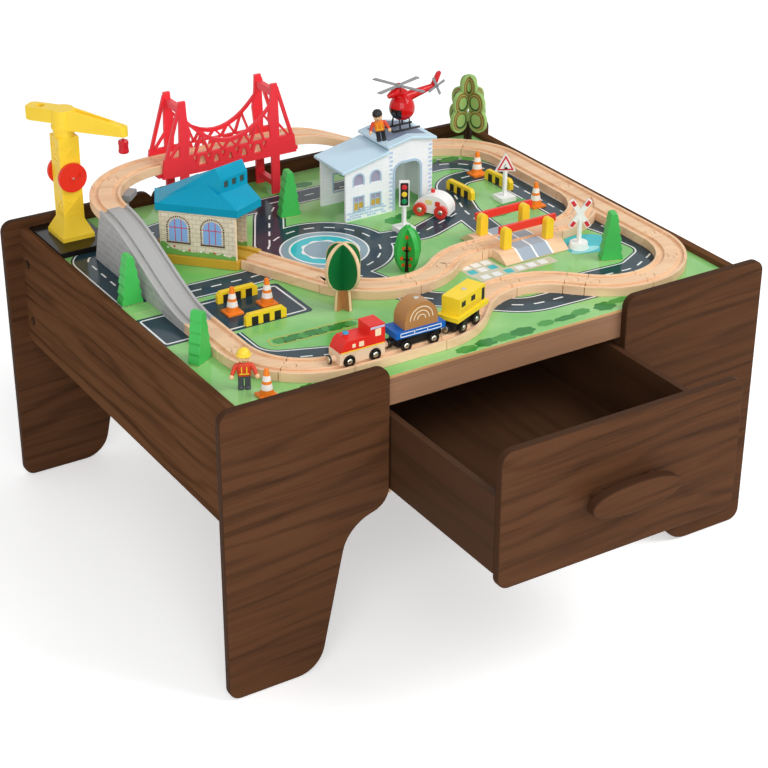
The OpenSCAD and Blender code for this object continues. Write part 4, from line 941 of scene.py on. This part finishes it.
def build_train():
    """Marks on the sides are rounded boxes; growth rings on the load are half circles about one centre."""
    for label, at, turn, base, _, _ in TRAIN:
        wheel_dress(label, at, turn, base, 12.9, CAR_AXLE, P.tyre_black)
    black = (34, 32, 32)
    red = paint("loco_paint", (240, 208, 176), 0.4, 0.1, bands=[(353.5, (226, 44, 36))])
    blue = paint("flatcar_paint", black, 0.4, 0.1, bands=[(353.1, (18, 96, 184)), (360.2, (176, 126, 74))])
    yellow = paint("coach_bands", black, 0.4, 0.1, bands=[(353.1, (248, 214, 44))])
    soften("loco_body", red, 1.4, segments=3)
    soften("flatcar_body", blue, 1.0)
    soften("coach_body", yellow, 1.0)
    panes = [box_line(7, 8, 0.8, (19, 39.6)), box_line(4, 4, 0.6, (-10, 31.5)),
             box_line(6, 5.5, 0.6, (-1, 31.5))]
    edges = [box_line(50, 0.8, 0.2, (0, z)) for z in (30.8, 27.0)]
    edges += [box_line(0.8, 4.4, 0.2, (x, 29)) for x in (-25, 25, -8, 8)]
    t = np.linspace(0, np.pi, 40)
    half = np.c_[np.cos(t), np.sin(t)]
    arcs = [np.concatenate([r * half, (r - 1.1) * half[::-1]]) + (2, 41.0) for r in (5.5, 10, 14.5)]
    # Two windows painted black, and a tall black panel at the rear end that is painted shade in the doorway
    # recess
    glass = [box_line(7.8, 6, 0.6, (-13, 42.6)), box_line(7.8, 6, 0.6, (6, 42.6)),
             box_line(5.4, 14, 0.8, (26.2, 39.5))]
    slats = [box_line(42, 0.4, 0.2, (2, z)) for z in (32.6, 34.6, 36.6)]
    loco, flatcar, coach = ("loco", LOCO, 0), ("flatcar", FLATCAR, 0), ("coach", COACH, COACH_TURN)
    stripe, band = [box_line(52, 1.3, 0.4, (0.5, 26))], [box_line(17, 2.4, 0.6, (18.4, 45.4))]
    hood, cab = (-11.8, 11.3), (-11.75, 11.3)
    side_marks((("loco_stripe", *loco, hood, 0.5, P.amber, "loco_red", stripe),
                ("loco_windows", *loco, hood, 0.5, P.pane_cream, "loco_red", panes),
                ("loco_band", *loco, hood, 0.5, P.band_grey, "loco_red", band),
                ("flatcar_lines", *flatcar, (-13.75, 13.3), 0.45, P.line_white, "car_blue", edges),
                ("flatcar_load_rings", *flatcar, (-11.3, 10.9), 0.4, P.ring_cream, "car_blue", arcs),
                ("coach_windows", *coach, cab, 0.45, P.black, "coach_yellow", glass),
                ("coach_slats", *coach, cab, 0.4, P.ochre, "coach_yellow", slats)))
    button = put(disc(3.2, 2.0, 0.8), (LOCO[0] - 13, LOCO[1], 369.4))
    piece("loco_button", [button], P.button_blue, "loco")
    for (body, at, turn), x, z in ((flatcar, 2, 60.3), (coach, 5.5, 49.2)):
        stud = on_board(put(disc(3.0, 1.0, 0.3), (x, 0, z)), at, turn)
        piece(f"{body}_stud", [stud], steel, body)
    for body, at, turn, _, front, rear in TRAIN:
        for name, r, h, ahead, back, mat in (("magnets", 3.75, 1.6, 0, 1.6, steel),
                                             ("magnet_rims", 5.2, 1.4, -2.0, 2.0, P.tyre_black)):
            caps = [on_board(put(disc(r, h, 0.5), (x, 0, MAGNET_Z), roll=a), at, turn)
                    for x, a in ((front + ahead, 90), (rear + back, -90))]
            piece(f"{body}_{name}", caps, mat, body)


def build_ambulance():
    white = paint("ambulance_paint", (244, 242, 240), 0.22, 0.1, bands=[(355.4, (222, 44, 40))])
    soften("ambulance_body", white, 3.0, segments=4)
    wheel_dress("ambulance", AMB, AMB_TURN, 13.5, 15.8, AMB_AXLE, P.wheel_red)
    van = ("ambulance", AMB, AMB_TURN, (10.85, -11.25), 0.4)
    pane, badge = ellipse(4.8, 3.3, 24, (3.5, 18), 0, 0.7), box_line(6.4, 6.4, 1, (-8, 17.2))
    side_marks((("ambulance_window", *van, P.pane_straw, "ambulance_white", [pane]),
                ("ambulance_badge", *van, P.wheel_red, "wheel_red", [badge])))


# Figures
def figure(tag, at, turn, roll, k, coat, sleeve, legs, hat, brim):
    """A toy figure of height 46 k: two legs, a tapering coat, bent arms, round head and hat."""
    def add_piece(name, parts, mat, replaces=(), width=0.0):
        """Parts scaled by k, turned about z and leant by roll at the figure's feet."""
        parts = [put(put((v * k, f), turn=turn), at, roll=roll) for v, f in parts]
        piece(f"figure_{tag}_{name}", parts, mat, "table", replaces, width)

    def rings(*rows):
        """Squared ellipses of half width w and half depth d, one at each height z, joined by quads."""
        return stack(np.stack([np.c_[ellipse(w, d, 28, power=0.6), np.full(28, z)] for w, d, z in rows]))

    sides = (-1, 1)
    leg = rings((3.1, 4.4, 0), (3.2, 4.5, 2.2), (2.9, 3.4, 3.4), (2.9, 3.3, 14.6))
    hips = rings((6.6, 3.5, 13), (6.6, 3.6, 16))
    add_piece("legs", [put(leg, (s * 3.5, -0.4, 0)) for s in sides] + [hips], legs,
              ("figures",) if tag == "helmet" else (), 0.4)
    torso = rings((6.5, 3.8, 15), (6.9, 4.2, 16), (7.4, 4.3, 22), (7.0, 4.1, 27), (4.6, 3.2, 29.4),
                  (2.4, 2.3, 30))
    add_piece("coat", [torso], coat, (), 0.4)
    arm = np.array([[6.0, 0, 27.2], [8.4, -0.6, 25.4], [10.6, -2, 21.5], [12.4, -4.6, 17.6]])
    add_piece("sleeves", [tube(arm * (s, 1, 1), [2.5, 2.6, 2.3, 2.1], 14) for s in sides], sleeve)
    hands = [ball((2.5, 2.7, 2.8), (s * 13.0, -5.6, 15.8), 16, 10) for s in sides]
    head = lathe([[0, 29.6], [2.4, 29.8], [2.6, 30.6], [4.8, 31.2], [5.8, 33], [6.0, 36], [5.6, 39.4],
                  [3.4, 41.4], [0, 42]], 28)
    add_piece("skin", hands + [head, ball((0.8, 0.8, 0.7), (0, -6.0, 35.4), 10, 6)], P.skin)
    eyes = [ball((0.7, 0.4, 0.9), (s * 2.1, -5.6, 36.8), 10, 6) for s in sides]
    mouth = tube([[-1.8, -5.5, 33.2], [-0.8, -5.8, 32.8], [0.8, -5.8, 32.8], [1.8, -5.5, 33.2]], 0.28, 8)
    add_piece("face", eyes + [mouth], P.cap_black)
    dome = lathe([[5.9, 37.8], [6.6 + brim, 37.6], [6.7 + brim, 38.6], [6.7, 39.4], [6.4, 42], [4.6, 44.4],
                  [2, 45.6], [0, 46]], 28)
    add_piece("hat", [dome], hat)
    straps = [standing(box_line(1.0, 8, 0.3, (s * 2.6, 22)), -4.7, 0.6) for s in sides]
    add_piece("trim", straps + [standing(box_line(10, 1.0, 0.3, (0, 18)), -4.6, 0.6)], P.helmet)


def build_figures():
    board, roof = (*spot(0.049, 0.102), BOARD_Z), (HOSPITAL[0] + 62.2, HOSPITAL[1] + 18, 415.68)
    figure("helmet", board, -25, 0, 1.0, P.jacket, P.jacket, P.trousers, P.helmet, 1.4)
    figure("cap", roof, -30, -10.78, 41 / 46, P.vest, P.jacket, P.cap_black, P.cap_black, 0.2)


# Scenery
WHOLE, BOTH = (1,), (-1, 1)
PINES = ((0.030, 0.552, 0), (0.032, 0.245, 31), (0.456, 0.781, -8), (0.856, 0.211, -22))


def tree(name, lines, y, deep, at, turn, mat, sides=BOTH, width=0.0):
    """The same standing outlines on both of two crossed panels, mirrored to each of the given faces."""
    parts = [standing(q, y, deep) for q in lines]
    faces = [on_board((v * (1, side, 1), f), at, turn + a)
             for a in (45, 135) for side in sides for v, f in parts]
    piece(name, faces, mat, width=width)


def build_trees():
    """Crowns and lobes are ellipses, each nested in the last; the fruit tree takes the wider of two arcs."""
    soften("trees", tree_ply, 0.4, "tree_bodies")
    half = np.array([[12.5, 0], [12.8, 3], [10.2, 10], [11.6, 13], [8.8, 22], [10, 25], [7, 34], [8, 37],
                     [5, 46], [5.8, 48], [3.6, 57], [2.2, 58]]) + (0.35, 0.3)
    pine = standing(np.concatenate([half, (half * (-1, 1))[::-1]]), -6.9, 13.8)
    for k, (u, v, a) in enumerate(PINES):
        parts = [on_board(pine, spot(u, v), a)]
        piece(f"pine_{k + 1}", parts, P.pine_green, width=1.0, segments=3)
    c = spot(0.334, 0.302)
    tree("round_tree_paint", [ellipse(24.3, 27.2, 56, (0, 50))], -2.4, 0.6, c, -32, P.leaf_green)
    tree("round_tree_trunk", [[[-12, 0.2], [12, 0.2], [9.8, 24], [-9.8, 24]]], -2.2, 0.4, c, -32, trunk_wood)
    c = spot(0.969, 0.955)
    lobes = [(s * 17, 34, 30, 32) for s in BOTH] + [(s * 14, 57, 28, 31) for s in BOTH] + [(0, 77, 27, 31)]
    stem = [[-5.3, 0.2], [5.3, 0.2], [5.3, 30], [-5.3, 30]]
    tree("tall_tree_trunk", [stem], -2.3, 4.6, c, -32, P.bark, WHOLE)
    for name, cut, mat, lift, dx, dz in (("base", -0.6, P.lobe_light, 0.3, 0, 0),
                                         ("line", 4, P.lobe_line, 0.5, -0.6, 0.8),
                                         ("gap", 7, P.lobe_light, 0.7, -0.2, 0.2),
                                         ("ring", 9, P.lobe_line, 0.9, -0.3, 0.2),
                                         ("shade", 11, P.lobe_dark, 1.1, 0.8, -0.8),
                                         ("core", 13.5, P.lobe_light, 1.3, 0, 0.4)):
        lines = [ellipse((w - cut) / 2, (h - 1.1 * cut) / 2, 44, (x + dx, z + dz), 0, 0.94)
                 for x, z, w, h in lobes]
        deep, sides = (2 * (2 + lift), WHOLE) if cut < 0 else (lift, BOTH)
        tree(f"tall_tree_lobe_{name}", lines, -2 - lift, deep, c, -32, mat, sides)
    c = spot(0.513, 0.390)
    z = 3.7 + 52.1 * np.linspace(0, 1, 24)
    leaf = np.sqrt(34.4 ** 2 - (z - 26) ** 2) - 17
    belly = np.minimum(17, np.sqrt(np.maximum(0, 18 ** 2 - (z - 26) ** 2))) + 0.4
    half = np.concatenate([[[7.4, 0.1]], np.c_[np.maximum(leaf, belly), z]])
    skin = np.concatenate([half, (half * (-1, 1))[::-1]])
    tree("fruit_tree_paint", [skin], -3.4, 6.8, c, -39, P.apple_green, WHOLE, 0.6)
    limbs = [[[3, 0.2], [6.8, 0.2], [5.6, 14], [4.8, 34], [3, 40]]]
    limbs += [[[4, z], [4 + reach, z + rise], [3.6 + reach, z + rise + 1.2], [4, z + 2.6]]
              for z, reach, rise in ((13, 7.5, 5), (24, 5.5, 4.5))]
    tree("fruit_tree_limbs", [np.array(q) * (s, 1) for s in BOTH for q in limbs], -3.7, 0.5, c, -39, P.bark)
    spots = ((4.2, 43), (8.6, 30.5), (11.4, 19), (9.4, 10))
    dots = [ellipse(2.2, 2.2, 18, (s * x, z)) for s in BOTH for x, z in spots]
    tree("fruit_tree_fruit", dots, -4.0, 0.6, c, -39, P.fruit)


def build_signs():
    """Slots, lamps and sign faces are thin slabs and discs on the posts' and barriers' own faces."""
    orange, white = (246, 132, 36), (246, 240, 232)
    stripes = [(337.0, white), (343.2, orange), (346.4, white), (352.2, orange)]
    soften("cones", paint("cone_bands", orange, 0.4, 0.1, bands=stripes), 0.9)
    soften("barriers", P.barrier_yellow, 0.5)
    slots = [on_board(standing(box_line(7.9, 9.8, 0.2, (14 * k, 4.95)), y, 0.6), spot(u, v), a)
             for u, v, a in ((0.195, 0.455, 0), (0.195, 0.333, 0), (0.794, 0.680, 95), (0.888, 0.684, 95))
             for k in (-1, 0, 1) for y in (-2.7, 2.1)]
    piece("barrier_slots", slots, P.black)
    soften("signs", P.white_plastic, 0.7)
    turn = -28
    show = lambda name, parts, at, mat: piece(name, [on_board(p, at, turn) for p in parts], mat)
    c = spot(0.603, 0.570)
    show("lamp_board", [standing(box_line(9.6, 28.6, 1.2, (0, 48)), -2.9, 0.5)], c, P.cap_black)
    for label, mat, z in (("red", P.sign_red, 57), ("amber", P.amber, 48), ("green", P.lamp_green, 39)):
        show(f"lamp_{label}", [put(disc(3.3, 0.6, 0.3), (0, -2.8, z), 0, 90)], c, mat)
    c = spot(0.852, 0.601)
    post = np.array([0, 38])
    tri = np.array([[-13, 0], [13, 0], [0, 24]])
    mid = tri.mean(0)
    for side, y in (("near", -1.9), ("far", 1.5)):
        red, white = ((tri - mid) * k + mid + post for k in (0.82, 0.55))
        show(f"warning_red_{side}", [standing(red, y, 0.4)], c, P.sign_red)
        show(f"warning_white_{side}", [standing(white, y - 0.15, 0.7)], c, P.white_plastic)
    heap = [[-3.2, 3.2], [3.4, 3.2], [1.6, 5.6], [0.2, 6.2], [-1, 4.6]]
    stick = [[-2.4, 5], [-1.7, 5], [0.4, 10], [-0.3, 10.2]]
    show("warning_mark", [standing(q + post, -2.25, 0.3) for q in (heap, stick)], c, P.cap_black)
    tips = [put(standing(box_line(7, 4.2, 0.4, (s * 15.2, 0)), -2.0, 0.5), (0, 0, 43), roll=a)
            for a in (-57, 57) for s in BOTH]
    show("crossing_sign_tips", tips, np.add(CROSSING[:2], (108.3, -46.3)), P.sign_red)


# Stage, light and camera
SKY, FLOOR_LIFT = 0.46, 0.42
FLOOR_HALF, FLOOR_Z = 6.0, -0.0005
PICTURE, FOCAL, SENSOR = 768, 1937, 36.0


def seen_ray(t):
    """1 for what the camera sees, straight or in gloss or glass; 0 for light that falls on the object."""
    ray = add(t, "LightPath").outputs
    return maths(t, "MAXIMUM", ray["Is Camera Ray"],
                 maths(t, "MAXIMUM", ray["Is Glossy Ray"], ray["Is Transmission Ray"]))


def build_stage():
    mesh = bpy.data.meshes.new("floor")
    corners = ((-1, -1), (1, -1), (1, 1), (-1, 1))
    mesh.from_pydata([(x * FLOOR_HALF, y * FLOOR_HALF, FLOOR_Z) for x, y in corners], [], [(0, 1, 2, 3)])
    floor = linked("floor", mesh)
    m, t, s, _ = material("floor_white")
    s.inputs["Base Color"].default_value = (0.93, 0.93, 0.93, 1)
    s.inputs["Roughness"].default_value = 0.6
    s.inputs["Emission Color"].default_value = (1, 1, 1, 1)
    t.links.new(maths(t, "MULTIPLY", seen_ray(t), FLOOR_LIFT), s.inputs["Emission Strength"])
    mesh.materials.append(m)
    world = bpy.data.worlds.new("studio")
    bpy.context.scene.world = world
    world.use_nodes = True
    t = world.node_tree
    sky = t.nodes["Background"].inputs
    t.links.new(maths(t, "MULTIPLY_ADD", seen_ray(t), 1 - SKY, SKY), sky["Strength"])
    sky["Color"].default_value = (1, 1, 1, 1)
    for name, at, size, power in (("key", (1.5, -1.6, 2.6), 1.6, 50), ("fill", (-1.6, -2.4, 1.7), 2.2, 50)):
        lamp = bpy.data.lights.new(name, "AREA")
        lamp.size, lamp.energy = size, power
        o = linked(name, lamp)
        o.location = at
        o.rotation_euler = (Vector((0, 0.05, 0.3)) - Vector(at)).to_track_quat("-Z", "Y").to_euler()


def build_camera():
    """Camera fitted to the photograph: azimuth, elevation and roll in degrees, place in table mm."""
    az, el, roll = math.radians(32.145), math.radians(27.97), math.radians(0.22)
    place = (np.array([-738.4, -1476.2, 1252.6]) - MID) / 1000
    d = Vector((math.sin(az) * math.cos(el), math.cos(az) * math.cos(el), -math.sin(el)))
    r = Vector((math.cos(az), -math.sin(az), 0))
    u = r.cross(d)
    right = r * math.cos(roll) + u * math.sin(roll)
    up = u * math.cos(roll) - r * math.sin(roll)
    m = Matrix((right, up, -d)).transposed().to_4x4()
    m.translation = Vector(place)
    cam = bpy.data.cameras.new("camera")
    cam.sensor_width, cam.sensor_fit = SENSOR, "HORIZONTAL"
    cam.lens = FOCAL * SENSOR / PICTURE
    cam.clip_end = 50
    o = linked("camera", cam)
    o.matrix_world = m
    bpy.context.scene.camera = o


build_table()
build_print()
build_railway()
build_crane()
build_station()
build_hospital()
build_helicopter()
build_train()
build_ambulance()
build_figures()
build_trees()
build_signs()
build_stage()
build_camera()
bpy.context.scene.view_settings.view_transform = "Standard"
